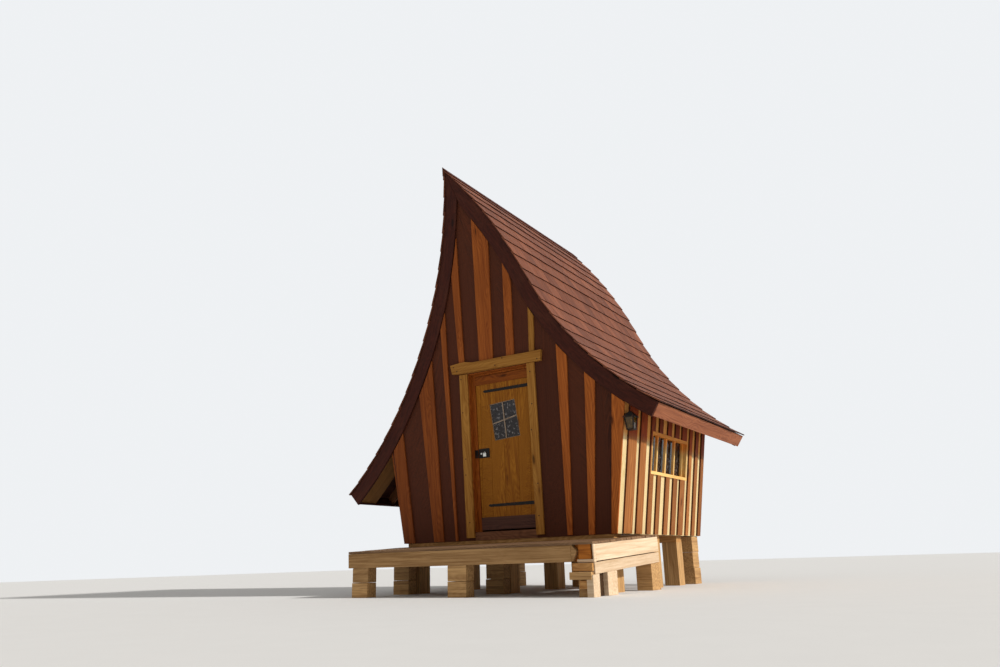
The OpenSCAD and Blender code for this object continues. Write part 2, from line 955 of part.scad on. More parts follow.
// Blocks under the timbers, cut to the slope of what they carry
module deck_blocks() {
    post_l = 165;
    block_l = timber_w - 30;
    left_x = deck_left + 60;
    mid_x = -crib_w / 2;
    right_x = side_x - crib_w - 120;
    back_y = deck_front + deck_depth - timber_w;
    second_y = deck_front + 290;
    color([0.66, 0.52, 0.34]) {
        difference() {
            for (place = [
                [left_x, deck_front + 10], [mid_x, deck_front + 10],
                [left_x, back_y], [mid_x, back_y], [right_x, back_y]
            ])
                translate(place) cube([crib_w, block_l, deck_z]);
            above_deck_line(-timber_h);
        }
        difference() {
            union() {
                translate([side_x, deck_front, 0]) cube([timber_w, post_l, deck_z]);
                for (y = [second_y, deck_front + side_timber_l - crib_w])
                    translate([side_x, y, 0]) cube([timber_w, crib_w, deck_z]);
            }
            above_deck_line(-timber_h - low_timber_h);
        }
    }
}

// All that lies above a depth under the top of the timbers
module above_deck_line(z) {
    on_deck() translate([-reach, -reach, z]) cube([2 * reach, 3 * reach, 2 * reach]);
}

pier_blocks();
cross_bearers();
floor_platform();
front_wall_left();
front_wall_right();
front_wall_top();
back_wall();
left_wall();
right_wall_front();
right_wall_back();
right_wall_middle();
rafters_left();
rafters_right();
roof_boards_left();
roof_boards_right();
shingles_left();
shingles_right();
ridge_boards();
barge_front_left();
barge_front_right();
barge_back_left();
barge_back_right();
fascia_left();
fascia_right();
door_casings();
lintel();
door_frame();
threshold();
door_leaf();
door_glass();
door_face_boards();
door_ledges();
hinge_straps();
hinge_pins();
hasp();
padlock();
window_frame();
window_glass();
lantern_frame();
lantern_glass();
deck_boards();
deck_cross_timbers();
deck_side_timber();
deck_low_timber();
deck_blocks();
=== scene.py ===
import random
from math import atan2, copysign, cos, pi, radians, sin, sqrt, tan

import bmesh
import bpy
from mathutils import Matrix, Vector, noise


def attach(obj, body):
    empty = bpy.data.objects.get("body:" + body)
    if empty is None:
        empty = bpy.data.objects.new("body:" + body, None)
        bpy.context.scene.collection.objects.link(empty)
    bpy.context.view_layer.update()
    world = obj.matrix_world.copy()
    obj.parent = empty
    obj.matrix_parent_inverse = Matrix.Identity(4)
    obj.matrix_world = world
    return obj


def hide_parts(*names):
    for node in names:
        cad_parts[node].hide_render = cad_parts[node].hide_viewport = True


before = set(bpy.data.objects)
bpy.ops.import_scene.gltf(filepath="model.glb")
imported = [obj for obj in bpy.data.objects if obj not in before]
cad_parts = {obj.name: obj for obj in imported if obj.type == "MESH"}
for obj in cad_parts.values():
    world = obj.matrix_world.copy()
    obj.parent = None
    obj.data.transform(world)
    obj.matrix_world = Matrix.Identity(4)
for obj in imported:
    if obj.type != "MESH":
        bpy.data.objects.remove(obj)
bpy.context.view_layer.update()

# Sizes in metres, the same ones as the solids have. X runs along the front wall, Y from front to back.
BASE_W = 3.040
BASE_L = 2.680
WALL_T = 0.110
WALL_FOOT = 0.620
FLOOR_TOP = 0.700
FRONT_LEAN = radians(7.2)
RIGHT_LEAN = radians(11.2)
LEFT_LEAN = radians(5.0)
HALF_W = BASE_W / 2
WALL_FACE = -BASE_L / 2
BACK_FACE = BASE_L / 2
INNER_L = BASE_L / 2 - WALL_T

# The roof line seen from the front: one arc on the left, two on the right that meet at the knee
PEAK = Vector((-0.360, 5.430))
LEFT_R = 5.650
LEFT_START = radians(2.3)
LEFT_END = radians(50.2)
TOP_R = 6.205
RIGHT_START = radians(42.2)
KNEE = radians(23.6)
LOW_R = 4.000
RIGHT_END = radians(56.8)
SHINGLE_T = 0.025
RAFTER_TOP = 0.050
RAFTER_H = 0.110
BARGE_W = 0.180
BARGE_T = 0.028
FASCIA_W = 0.165
FASCIA_T = 0.025
SHINGLE_LIP = 0.014
SEAT_GAP = 0.0003
BACK_OVERHANG = 0.320
BACK_RAKE = radians(1.8)

DOOR_LEFT = -0.380
DOOR_W = 0.878
DOOR_TOP = 2.655
DOOR_LEAN = radians(2.9)
LEAF_FACE = WALL_FACE + 0.065
LEAF_T = 0.032
LEAF_X0 = 0.066
LEAF_X1 = 0.864
LEAF_FOOT = 0.73625
LEAF_TOP = 2.615
LINTEL_T = 0.045

# The side window's frame. After a closer look at the photo its front edge stands 30 mm behind the solid's,
# its foot is 17 mm lower, its top 15 mm lower, and its members are 15 mm narrower.
WINDOW_FRONT = -0.546
WINDOW_BACK = 0.686
WINDOW_Z = 1.319
WINDOW_TOP = 1.816
WINDOW_BAR = 0.037
WINDOW_PROUD = 0.018

# Sizes that only this script has
COVER_T = 0.022
DARK_T = 0.018
CORE_T = DARK_T + 0.001
CORE_TOP = RAFTER_TOP + 0.002
CORNER_GAP = 0.0005
WALL_BEVEL = 0.0025
CASING_T = COVER_T + 0.003

# Words for the left and the right side, by the sign of X there
SIDES = {-1: "left", 1: "right"}

CAMERA_PLACE = (5.177, -9.426, 0.352)
CAMERA_RIGHT = Vector((0.840, 0.542, -0.029))
CAMERA_AHEAD = Vector((-0.513, 0.810, 0.285))
SENSOR_W = 36.0
LENS = 27.72
TO_SUN = Vector((0.92, 0.03, 0.50))
SUN_STRENGTH = 3.4
SUN_ANGLE = radians(3)
SUN_COLOUR = (1.0, 0.96, 0.90)
SKY_STRENGTH = 0.34
SKY_COLOUR = (1.0, 0.95, 0.88, 1)
BACKGROUND = (0.86, 0.88, 0.90, 1)
FLOOR_HALF = 60


def toward(angle):
    return Vector((cos(angle), sin(angle)))


# Roof line

LEFT_CENTRE = PEAK - LEFT_R * toward(-LEFT_START)
TOP_CENTRE = PEAK - TOP_R * toward(RIGHT_START)
KNEE_POINT = TOP_CENTRE + TOP_R * toward(KNEE)
LOW_CENTRE = KNEE_POINT + LOW_R * toward(KNEE)
MITRE = (toward(-LEFT_START) - toward(RIGHT_START)).normalized()
KNEE_S = (RIGHT_END - KNEE) * LOW_R
RIGHT_EAVE = LOW_CENTRE - LOW_R * toward(RIGHT_END)


def meet_angle(centre, radius):
    """Angle round a centre at which a circle meets the line between the two slopes."""
    v = PEAK - centre
    b = v.dot(MITRE)
    t = copysign(sqrt(b * b - v.dot(v) + radius * radius), b) - b
    p = v + t * MITRE
    return atan2(p.y, p.x)


def slope_point(side, s, d):
    """Point of a slope: s along the roof line from the eave, d below it."""
    if side < 0:
        return LEFT_CENTRE + (LEFT_R + d) * toward(-LEFT_END + s / LEFT_R)
    if s < KNEE_S:
        return LOW_CENTRE - (LOW_R + d) * toward(RIGHT_END - s / LOW_R)
    return TOP_CENTRE + (TOP_R - d) * toward(KNEE + (s - KNEE_S) / TOP_R)


def slope_top(side, d):
    """Distance along a slope at which it meets the other one, at a depth below the roof line."""
    if side < 0:
        return (meet_angle(LEFT_CENTRE, LEFT_R + d) + LEFT_END) * LEFT_R
    return KNEE_S + (meet_angle(TOP_CENTRE, TOP_R - d) - KNEE) * TOP_R


def roof_height(x, d):
    """Height of the roof line above a place, at a depth below it."""
    knee_x = TOP_CENTRE.x + (TOP_R - d) * cos(KNEE)
    if x > knee_x:
        z = LOW_CENTRE.y - sqrt(max((LOW_R + d) ** 2 - (x - LOW_CENTRE.x) ** 2, 0))
    else:
        z = TOP_CENTRE.y + sqrt(max((TOP_R - d) ** 2 - (x - TOP_CENTRE.x) ** 2, 0))
    reach = x - LEFT_CENTRE.x
    if reach < LEFT_R + d:
        z = min(z, LEFT_CENTRE.y - sqrt((LEFT_R + d) ** 2 - reach * reach))
    return z


def roof_x(side, z, d):
    """Where the roof line at a depth passes a height, on one side."""
    if side < 0:
        return LEFT_CENTRE.x + sqrt((LEFT_R + d) ** 2 - (z - LEFT_CENTRE.y) ** 2)
    knee_z = TOP_CENTRE.y + (TOP_R - d) * sin(KNEE)
    if z > knee_z:
        return TOP_CENTRE.x + sqrt((TOP_R - d) ** 2 - (z - TOP_CENTRE.y) ** 2)
    return LOW_CENTRE.x - sqrt((LOW_R + d) ** 2 - (z - LOW_CENTRE.y) ** 2)


def lean_y(y, z):
    """Place at a height of a plane that leans forward with the walls, from its place at their foot."""
    return y - (z - WALL_FOOT) * tan(FRONT_LEAN)


def rake_front(z, inset=0.0):
    return lean_y(WALL_FACE, z) - SEAT_GAP - BARGE_T + inset


def rake_back(z, inset=0.0):
    return BACK_FACE + BACK_OVERHANG - inset + (z - RIGHT_EAVE.y) * tan(BACK_RAKE)


# Small helpers

def spaced(a, b, steps):
    return [a + (b - a) * k / steps for k in range(steps + 1)]


def rectangle(u0, u1, v0, v1):
    return [(u0, v0), (u1, v0), (u1, v1), (u0, v1)]


# Camera, floor and light

def add_camera():
    right = CAMERA_RIGHT.normalized()
    up = right.cross(CAMERA_AHEAD).normalized()
    ahead = up.cross(right)
    turn = Matrix((right, up, -ahead)).transposed().to_4x4()
    data = bpy.data.cameras.new("camera")
    data.sensor_width = SENSOR_W
    data.lens = LENS
    data.clip_end = 200
    camera = bpy.data.objects.new("camera", data)
    camera.matrix_world = Matrix.Translation(CAMERA_PLACE) @ turn
    bpy.context.scene.collection.objects.link(camera)
    bpy.context.scene.camera = camera


def add_floor():
    mesh = bpy.data.meshes.new("floor")
    corners = rectangle(-FLOOR_HALF, FLOOR_HALF, -FLOOR_HALF, FLOOR_HALF)
    mesh.from_pydata([(x, y, 0) for x, y in corners], [], [(0, 1, 2, 3)])
    mesh.materials.append(paper_floor("pale_floor"))
    floor = bpy.data.objects.new("floor", mesh)
    bpy.context.scene.collection.objects.link(floor)


def add_light():
    """A sun from the right, and a world that lights softly and shows a pale background."""
    scene = bpy.context.scene
    scene.view_settings.view_transform = "Standard"
    sun = bpy.data.lights.new("sun", "SUN")
    sun.energy = SUN_STRENGTH
    sun.angle = SUN_ANGLE
    sun.color = SUN_COLOUR
    lamp = bpy.data.objects.new("sun", sun)
    lamp.rotation_mode = "QUATERNION"
    lamp.rotation_quaternion = (-TO_SUN).to_track_quat("-Z", "Y")
    scene.collection.objects.link(lamp)

    scene.world = bpy.data.worlds.new("world")
    n = Nodes(scene.world)
    rays = n.add("LightPath").outputs
    seen = rays["Is Camera Ray"]
    for name in ("Is Glossy Ray", "Is Transmission Ray"):
        seen = n.plus(seen, rays[name], clamp=True)
    sky = n.add("Background", {"Color": SKY_COLOUR, "Strength": SKY_STRENGTH}).outputs[0]
    background = n.add("Background", {"Color": BACKGROUND, "Strength": 1.0}).outputs[0]
    mix = n.add("MixShader", {0: seen, 1: sky, 2: background}).outputs[0]
    n.add("OutputWorld", {"Surface": mix})


# Materials

def srgb(colour):
    """Linear colour of a colour given in 0 to 255 steps."""
    shares = [c / 255 for c in colour]
    return tuple(c / 12.92 if c <= 0.04045 else ((c + 0.055) / 1.055) ** 2.4 for c in shares) + (1.0,)


def darker(colour, share):
    return tuple(c * share for c in colour[:3]) + (1,)


class Nodes:
    """Short way to make and join the nodes of a material or a world."""

    def __init__(self, owner):
        owner.use_nodes = True
        self.owner = owner
        self.tree = owner.node_tree
        self.tree.nodes.clear()

    def add(self, kind, values=None, **props):
        node = self.tree.nodes.new("ShaderNode" + kind)
        for key, value in props.items():
            setattr(node, key, value)
        for key, value in (values or {}).items():
            if isinstance(value, bpy.types.NodeSocket):
                self.tree.links.new(value, node.inputs[key])
            else:
                node.inputs[key].default_value = value
        return node

    def place(self):
        """Place on the object itself."""
        return self.add("TexCoord").outputs["Object"]

    def math(self, operation, a, b=0.0, clamp=False):
        return self.add("Math", {0: a, 1: b}, operation=operation, use_clamp=clamp).outputs[0]

    def plus(self, a, b, clamp=False):
        return self.math("ADD", a, b, clamp)

    def times(self, a, b):
        return self.math("MULTIPLY", a, b)

    def vector(self, x, y, z):
        return self.add("CombineXYZ", {0: x, 1: y, 2: z}).outputs[0]

    def parts(self, vector):
        return self.add("SeparateXYZ", {0: vector}).outputs

    def shifted(self, vector, shift):
        return self.add("VectorMath", {0: vector, 1: shift}, operation="ADD").outputs[0]

    def scaled(self, vector, x, y, z):
        return self.add("Mapping", {"Vector": vector, "Scale": (x, y, z)}).outputs[0]

    def mix(self, amount, a, b, blend="MIX"):
        return self.add("Mix", {0: amount, 6: a, 7: b}, data_type="RGBA", blend_type=blend).outputs[2]

    def fade(self, value, low, high):
        """0 below low, 1 above high, smooth in between."""
        return self.add("MapRange", {0: value, 1: low, 2: high}, interpolation_type="SMOOTHSTEP").outputs[0]

    def noise(self, vector, scale=1.0, detail=4.0, roughness=0.6, distortion=0.0):
        return self.add("TexNoise", {"Vector": vector, "Scale": scale, "Detail": detail,
                                     "Roughness": roughness, "Distortion": distortion}).outputs["Fac"]

    def bump(self, height, strength, distance):
        return self.add("Bump", {"Strength": strength, "Distance": distance, "Height": height}).outputs[0]

    def finish(self, colour, roughness, normal, **fixed):
        """Joins the nodes to a shader and gives the material. fixed are values of the shader's sockets."""
        values = {"Base Color": colour, "Roughness": roughness, "Normal": normal}
        values.update({key.replace("_", " "): value for key, value in fixed.items()})
        shader = self.add("BsdfPrincipled", values).outputs[0]
        self.add("OutputMaterial", {"Surface": shader})
        return self.owner


# Which axes run along, across and into the wood
GRAIN_ORDER = {"X": (0, 1, 2), "Y": (1, 0, 2), "Z": (2, 0, 1)}
JOINT_W = 0.004
# Heights between which painted shade fades in high on a wall, where the eave's shadow falls
PAINTED_SHADE_HEIGHTS = (1.62, 1.74)


def wood_place(n, axis, board):
    """Place in the wood, the board's tone, and how near a joint is. The last two can be missing."""
    if axis is None:
        grain = n.add("Attribute", attribute_name="grain").outputs["Vector"]
        return grain, n.add("Attribute", attribute_name="tone").outputs["Fac"], None
    parts = n.parts(n.place())
    grain = n.vector(*(parts[i] for i in GRAIN_ORDER[axis]))
    if board is None:
        return grain, None, None
    across = n.math("DIVIDE", parts["XYZ".index(board[0])], board[1])
    tone = n.add("TexWhiteNoise", {"W": n.math("FLOOR", across)}, noise_dimensions="1D").outputs["Value"]
    grain = n.shifted(grain, n.vector(n.times(tone, 37.0), tone, 0.0))
    edge = n.math("PINGPONG", n.math("FRACT", across), 0.5)
    return grain, tone, n.fade(edge, 0.0, JOINT_W / board[1])


def wood(name, dark, light, rings=0.35, knots=0.3, spread=0.35, axis=None, board=None, worn=None,
         wear=0.0, painted_shade_tint=None):
    """Wood whose grain follows the attribute "grain", or an axis of the solid where that is named.

    dark, light and worn are colours in 0 to 255 steps. board gives an axis and a width at which a
    solid that stands for several boards is divided. The last argument is what the colour is multiplied by
    high on a wall: painted shade, where the eave's shadow falls.
    """
    n = Nodes(bpy.data.materials.new(name))
    dark, light = srgb(dark), srgb(light)
    grain, tone, joint = wood_place(n, axis, board)

    def stretched(along, across):
        return n.scaled(grain, along, across, across)

    # Fine streaks, broad clouds, and rings that wander across the board
    streak = n.noise(stretched(1.6, 46), detail=7, roughness=0.62, distortion=0.25)
    cloud = n.noise(stretched(0.8, 4.5), detail=3)
    bend = n.noise(stretched(0.9, 3.2), detail=2)
    bent = n.shifted(stretched(0.7, 15), n.vector(0.0, n.times(bend, 7.0), 0.0))
    ring = n.add("TexWave", {"Vector": bent, "Scale": 1.0, "Distortion": 1.5, "Detail": 2.0},
                 wave_type="BANDS", bands_direction="Y").outputs["Fac"]

    # Each cell can hold a knot, in the share of cells that knots says
    cells = n.add("TexVoronoi", {"Vector": stretched(2.1, 7.5), "Scale": 1.0}).outputs
    chosen = n.add("SeparateColor", {0: cells["Color"]}).outputs[0]
    chosen = n.math("GREATER_THAN", chosen, 1.0 - knots)
    knot = n.times(n.fade(cells["Distance"], 0.17, 0.07), chosen)
    halo = n.times(n.fade(cells["Distance"], 0.34, 0.12), chosen)

    mixed = n.plus(n.times(n.fade(streak, 0.30, 0.72), 1.0 - rings), n.times(ring, rings))
    mixed = n.plus(mixed, n.times(n.math("SUBTRACT", cloud, 0.5), 0.7), clamp=True)
    colour = n.mix(mixed, dark, light)
    if tone is not None:
        lift = n.times(n.math("SUBTRACT", tone, 0.5), spread)
        hue = n.plus(n.times(lift, 0.005), 0.5)
        colour = n.add("HueSaturation", {"Color": colour, "Value": n.plus(lift, 1.0), "Hue": hue}).outputs[0]
    if worn is not None:
        patch = n.noise(stretched(1.2, 6), 1.3, detail=6, roughness=0.7)
        colour = n.mix(n.times(n.fade(patch, 0.45, 0.75), wear), colour, srgb(worn))
    # Painted shade: above these heights the colour is multiplied by the tint, where the eave's shadow falls
    if painted_shade_tint is not None:
        height = n.parts(n.place())[2]
        colour = n.mix(n.fade(height, *PAINTED_SHADE_HEIGHTS), colour, painted_shade_tint + (1,), blend="MULTIPLY")
    colour = n.mix(n.times(halo, 0.45), colour, dark)
    colour = n.mix(n.times(knot, 0.85), colour, darker(dark, 0.3))

    relief = n.plus(n.times(streak, 0.6), n.times(ring, 0.3))
    relief = n.math("SUBTRACT", relief, n.times(knot, 0.3))
    if joint is not None:
        colour = n.mix(joint, darker(dark, 0.25), colour)
        relief = n.plus(relief, n.times(joint, 2.0))
    roughness = n.plus(n.times(streak, 0.16), 0.58)
    return n.finish(colour, roughness, n.bump(relief, 0.35, 0.004), Specular_IOR_Level=0.12)


def iron(name):
    """Black iron with pits and brown patches."""
    n = Nodes(bpy.data.materials.new(name))
    pits = n.noise(n.place(), 160, detail=6)
    patch = n.noise(n.place(), 22)
    colour = n.mix(n.fade(patch, 0.52, 0.74), srgb((30, 27, 25)), srgb((74, 44, 28)))
    return n.finish(colour, n.plus(n.times(pits, 0.3), 0.36), n.bump(pits, 0.35, 0.001), Metallic=0.75)


def steel(name):
    """Bright steel with upright scratches."""
    n = Nodes(bpy.data.materials.new(name))
    marks = n.noise(n.scaled(n.place(), 40, 40, 400), detail=5)
    colour = n.mix(marks, srgb((176, 176, 172)), srgb((232, 232, 226)))
    return n.finish(colour, n.plus(n.times(marks, 0.2), 0.2), n.bump(marks, 0.1, 0.0005), Metallic=1.0)


def glass(name, tint, waves, reflection_lift):
    """Window glass: its tint stands for what shows through it, for the windows painted shade of the dark
    inside, with slow waves in its surface and pale specks of painted reflection.
    """
    n = Nodes(bpy.data.materials.new(name))
    tint = srgb(tint)
    wave = n.noise(n.place(), waves, detail=2)
    reflection_specks = n.noise(n.place(), 34, detail=6, roughness=0.7)
    pale = tuple(min(1, c * 3.0 + reflection_lift) for c in tint[:3]) + (1,)
    colour = n.mix(n.fade(reflection_specks, 0.54, 0.68), tint, pale)
    return n.finish(colour, n.times(reflection_specks, 0.12), n.bump(wave, 0.25, 0.01),
                    Transmission_Weight=0.15, IOR=1.5, Specular_IOR_Level=0.35)


def paper_floor(name):
    """Pale floor with a faint grain."""
    n = Nodes(bpy.data.materials.new(name))
    grain = n.noise(n.place(), 3.0, detail=5)
    colour = n.mix(grain, (0.80, 0.81, 0.82, 1), (0.84, 0.85, 0.86, 1))
    return n.finish(colour, 0.9, n.bump(grain, 0.05, 0.01))


# Boards

class Boards:
    """Many boards joined in one mesh, each with its own grain and tone."""

    def __init__(self, seed):
        self.rng = random.Random(seed)
        self.points, self.faces, self.slots, self.grain, self.tone = [], [], [], [], []

    def tube(self, sections, grain=None, slot=0, tone=None, end_slot=None):
        """Closed bar through a row of sections with the same number of corners each.

        grain gives, for each point, how far it is along, across and into the wood. Without it the
        wood runs along X. end_slot is the material of the face at the start.
        """
        n = len(sections[0])
        base = len(self.points)
        points = [p for section in sections for p in section]
        faces = [tuple(range(n - 1, -1, -1)), tuple(range(len(points) - n, len(points)))]
        for a in range(0, len(points) - n, n):
            b = a + n
            faces += [(a + i, a + (i + 1) % n, b + (i + 1) % n, b + i) for i in range(n)]
        shift = Vector([self.rng.uniform(0, 40) for _ in range(3)])
        tone = self.rng.random() if tone is None else tone
        self.points += [tuple(p) for p in points]
        self.grain += [tuple(Vector(g) + shift) for row in grain or sections for g in row]
        self.tone += [tone] * len(points)
        self.faces += [tuple(base + i for i in face) for face in faces]
        self.slots += [slot] * len(faces)
        if end_slot is not None:
            self.slots[-len(faces)] = end_slot

    def prism(self, outline, place, near, far, along="v", edge_slot=None, **look):
        """Board with an outline in a wall's plane, from one distance out of the wall to another.

        edge_slot is the material of its edges.
        """
        rows = [[(u, v, d) for u, v in outline] for d in (near, far)]
        grain = rows if along == "u" else [[(v, u, d) for u, v, d in row] for row in rows]
        self.tube([[place(*p) for p in row] for row in rows], grain, **look)
        if edge_slot is not None:
            self.slots[-len(outline):] = [edge_slot] * len(outline)

    def box(self, low, high, along="X"):
        corners = rectangle(low[0], high[0], low[1], high[1])
        rows = [[Vector((x, y, z)) for x, y in corners] for z in (low[2], high[2])]
        self.tube(rows, [[[p[i] for i in GRAIN_ORDER[along]] for p in row] for row in rows])

    def build(self, name, materials, replaces=(), bevel=0.0, body="cabin"):
        """Makes the piece, with its faces turned outwards and its edges rounded."""
        mesh = bpy.data.meshes.new(name)
        mesh.from_pydata(self.points, [], self.faces)
        outward = bmesh.new()
        outward.from_mesh(mesh)
        bmesh.ops.recalc_face_normals(outward, faces=outward.faces)
        outward.to_mesh(mesh)
        outward.free()
        mesh.polygons.foreach_set("material_index", self.slots)
        mesh.attributes.new("grain", "FLOAT_VECTOR", "POINT").data.foreach_set(
            "vector", [c for g in self.grain for c in g])
        mesh.attributes.new("tone", "FLOAT", "POINT").data.foreach_set("value", self.tone)
        for material in materials:
            mesh.materials.append(material)
        piece = bpy.data.objects.new(name, mesh)
        bpy.context.scene.collection.objects.link(piece)
        tidy = piece.modifiers.new("tidy", "WELD")
        tidy.merge_threshold = 1e-7
        if bevel:
            edge = piece.modifiers.new("edges", "BEVEL")
            edge.width = bevel
            edge.segments = 2
            edge.limit_method = "ANGLE"
            edge.angle_limit = radians(35)
        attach(piece, body)
        if replaces:
            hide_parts(*replaces)


# Planes of the walls and of the door: u along the plane, v up, d out of it

def end_plane(face, out):
    """Plane of an end wall or the door, from its place at the wall's foot and the way that it faces."""
    return lambda u, v, d: Vector((u, lean_y(face + out * d, v), v))


def side_plane(side, lean):
    """Plane of a side wall, which leans out and, with the others, forward."""
    def place(u, v, d):
        x = side * (HALF_W + (v - WALL_FOOT) * tan(lean) + d * cos(lean))
        return Vector((x, lean_y(u, v), v - d * sin(lean)))
    return place


front_place = end_plane(WALL_FACE, -1)
back_place = end_plane(BACK_FACE, 1)
leaf_place = end_plane(LEAF_FACE, -1)
right_place = side_plane(1, RIGHT_LEAN)
left_place = side_plane(-1, LEFT_LEAN)


def door_x(across, z):
    """Place along the front wall of a place across the doorway, which leans to the right."""
    return DOOR_LEFT + across + (z - FLOOR_TOP) * tan(DOOR_LEAN)


def door_place(u, v, d):
    """Place on the leaf, where u runs across the doorway."""
    return leaf_place(door_x(u, v), v, d)


def door_strip(a, b, z0, z1):
    """Outline of a board that leans with the doorway, between two places across it."""
    return [(door_x(u, z), z) for u, z in rectangle(a, b, z0, z1)]


# Edges of boards: a straight line each, as its place at the foot of the wall and its lean per metre

START_Z = 3.0
SEARCH_STEPS = 40
# How many straight steps follow the roof: over a board, over the wall beside the door, and above it
BOARD_STEPS, SIDE_STEPS, TOP_STEPS = 6, 8, 40


def on_edge(edge, z):
    return edge[0] + edge[1] * (z - WALL_FOOT), z


def edge_top(edge, depth):
    """Height at which an edge meets the roof at a depth, found by coming nearer to it step by step."""
    z = START_Z
    for _ in range(SEARCH_STEPS):
        z = 0.5 * z + 0.5 * roof_height(on_edge(edge, z)[0], depth)
    return z


def under_roof(x0, x1, depth, steps):
    """Points between two places that follow the roof at a depth."""
    return [(x, roof_height(x, depth)) for x in spaced(x0, x1, steps)[1:-1]]


def board_outline(left, right, z0, depth=RAFTER_TOP, z1=None):
    """Outline of a board between two edges, cut by the roof or at a height."""
    foot = [on_edge(left, z0), on_edge(right, z0)]
    if z1 is not None:
        return foot + [on_edge(right, z1), on_edge(left, z1)]
    a = on_edge(left, edge_top(left, depth))
    b = on_edge(right, edge_top(right, depth))
    return foot + [b, *under_roof(b[0], a[0], depth, BOARD_STEPS), a]


def wall_sides(inset):
    """The two leaning edges of an end wall, moved in."""
    left = (-HALF_W + inset / cos(LEFT_LEAN), -tan(LEFT_LEAN))
    right = (HALF_W - inset / cos(RIGHT_LEAN), tan(RIGHT_LEAN))
    return left, right


# Front and back walls

# Edges of the light cover boards on the front wall, from the left corner to the right one
COVERS = [
    ((-1.500, -0.0554), (-1.328, -0.0455)),
    ((-1.011, -0.0309), (-0.860, 0.0170)),
    ((-0.674, 0.0135), (-0.642, 0.0319)),
    ((-0.394, 0.0008), (-0.370, 0.0274)),
    ((-0.168, 0.0405), (-0.011, 0.0629)),
    ((0.190, 0.0615), (0.292, 0.0652)),
    ((0.466, 0.0848), (0.509, 0.0969)),
    ((0.902, 0.0545), (0.963, 0.0907)),
    ((1.173, 0.0974), (1.243, 0.1328)),
    ((1.451, 0.1356), (1.520, 0.1980)),
]
ABOVE_DOOR = (3, 4, 5, 6)
PALE_COVER = 6
# The cover boards end under the bargeboards: how deep below the roof line on the left and the right
LEFT_COVER_TOP = SHINGLE_T + BARGE_W + 0.012
RIGHT_COVER_TOP = SHINGLE_T + BARGE_W + 0.006
ABOVE_LINTEL = DOOR_TOP + 0.02


def board_joints(left_side, right_side):
    """Joints of the dark boards, each under the middle of a cover board."""
    inner = [((a[0] + b[0]) / 2, (a[1] + b[1]) / 2) for a, b in COVERS[1:-1]]
    return [left_side] + inner + [right_side]


def front_wall(mats):
    """Wide dark boards, with light cover boards over their joints."""
    wall = Boards(11)
    left_side, right_side = wall_sides(DARK_T + CORNER_GAP)
    joints = board_joints(left_side, right_side)
    door_left, door_right = [(door_x(a, WALL_FOOT), tan(DOOR_LEAN)) for a in (0, DOOR_W)]
    # The boards beside the doorway end at its edges, and those above it stand on the lintel's line
    for row in (joints[:3] + [door_left], [door_right] + joints[7:]):
        for a, b in zip(row, row[1:]):
            high = DOOR_TOP if a is door_right or b is door_left else None
            wall.prism(board_outline(a, b, WALL_FOOT, z1=high), front_place, -DARK_T, 0)
    above = joints[2:8]
    for a, b in zip(above, above[1:]):
        wall.prism(board_outline(a, b, DOOR_TOP), front_place, -DARK_T, 0)
    for outline in core_outlines(left_side, door_left, door_right, right_side):
        wall.prism(outline, front_place, -WALL_T, -CORE_T, slot=2)
    for i, (left, right) in enumerate(COVERS):
        foot = ABOVE_LINTEL if i in ABOVE_DOOR else WALL_FOOT + wall.rng.uniform(0.0, 0.008)
        depth = LEFT_COVER_TOP if i < 4 else RIGHT_COVER_TOP
        wall.prism(board_outline(left, right, foot, depth), front_place, 0, COVER_T,
                   slot=3 if i == PALE_COVER else 1, tone=i / (len(COVERS) - 1))
    wall.build("front_wall_boards", mats,
               ["front_wall_left", "front_wall_right", "front_wall_top"], WALL_BEVEL)


def core_outlines(left_side, door_left, door_right, right_side):
    """Outlines of the wall behind the boards: left of the doorway, right of it and above it."""
    a, b = [(roof_x(side, DOOR_TOP, CORE_TOP), DOOR_TOP) for side in SIDES]
    left_eave, right_eave = [on_edge(side, edge_top(side, CORE_TOP)) for side in (left_side, right_side)]
    left = [on_edge(left_side, WALL_FOOT), on_edge(door_left, WALL_FOOT), on_edge(door_left, DOOR_TOP),
            a, *under_roof(a[0], left_eave[0], CORE_TOP, SIDE_STEPS), left_eave]
    right = [on_edge(door_right, WALL_FOOT), on_edge(right_side, WALL_FOOT), right_eave,
             *under_roof(right_eave[0], b[0], CORE_TOP, SIDE_STEPS), b, on_edge(door_right, DOOR_TOP)]
    return left, right, [a, b, *under_roof(b[0], a[0], CORE_TOP, TOP_STEPS)]


def back_wall(mats):
    """The unseen back repeats the front's boards, without a door."""
    wall = Boards(12)
    joints = board_joints(*wall_sides(DARK_T + CORNER_GAP))
    for a, b in zip(joints, joints[1:]):
        wall.prism(board_outline(a, b, WALL_FOOT), back_place, -WALL_T, 0)
    for left, right in COVERS:
        outline = board_outline(left, right, WALL_FOOT + 0.003, RAFTER_TOP + 0.004)
        wall.prism(outline, back_place, 0, COVER_T, slot=1)
    wall.build("back_wall_boards", mats, ["back_wall"], WALL_BEVEL)


# Side walls

# Start and end of each cover board at the foot of a side wall, from the front to the back
SIDE_COVERS = [
    (-1.234, -1.000), (-0.892, -0.712), (-0.577, -0.452), (-0.323, -0.208), (-0.046, 0.086),
    (0.214, 0.357), (0.459, 0.631), (0.748, 0.851), (0.980, 1.096), (1.220, 1.340),
]
LEAST_BOARD = 0.003
# Middles of the uprights in the side window
UPRIGHTS = (-0.2425, 0.041, 0.339)


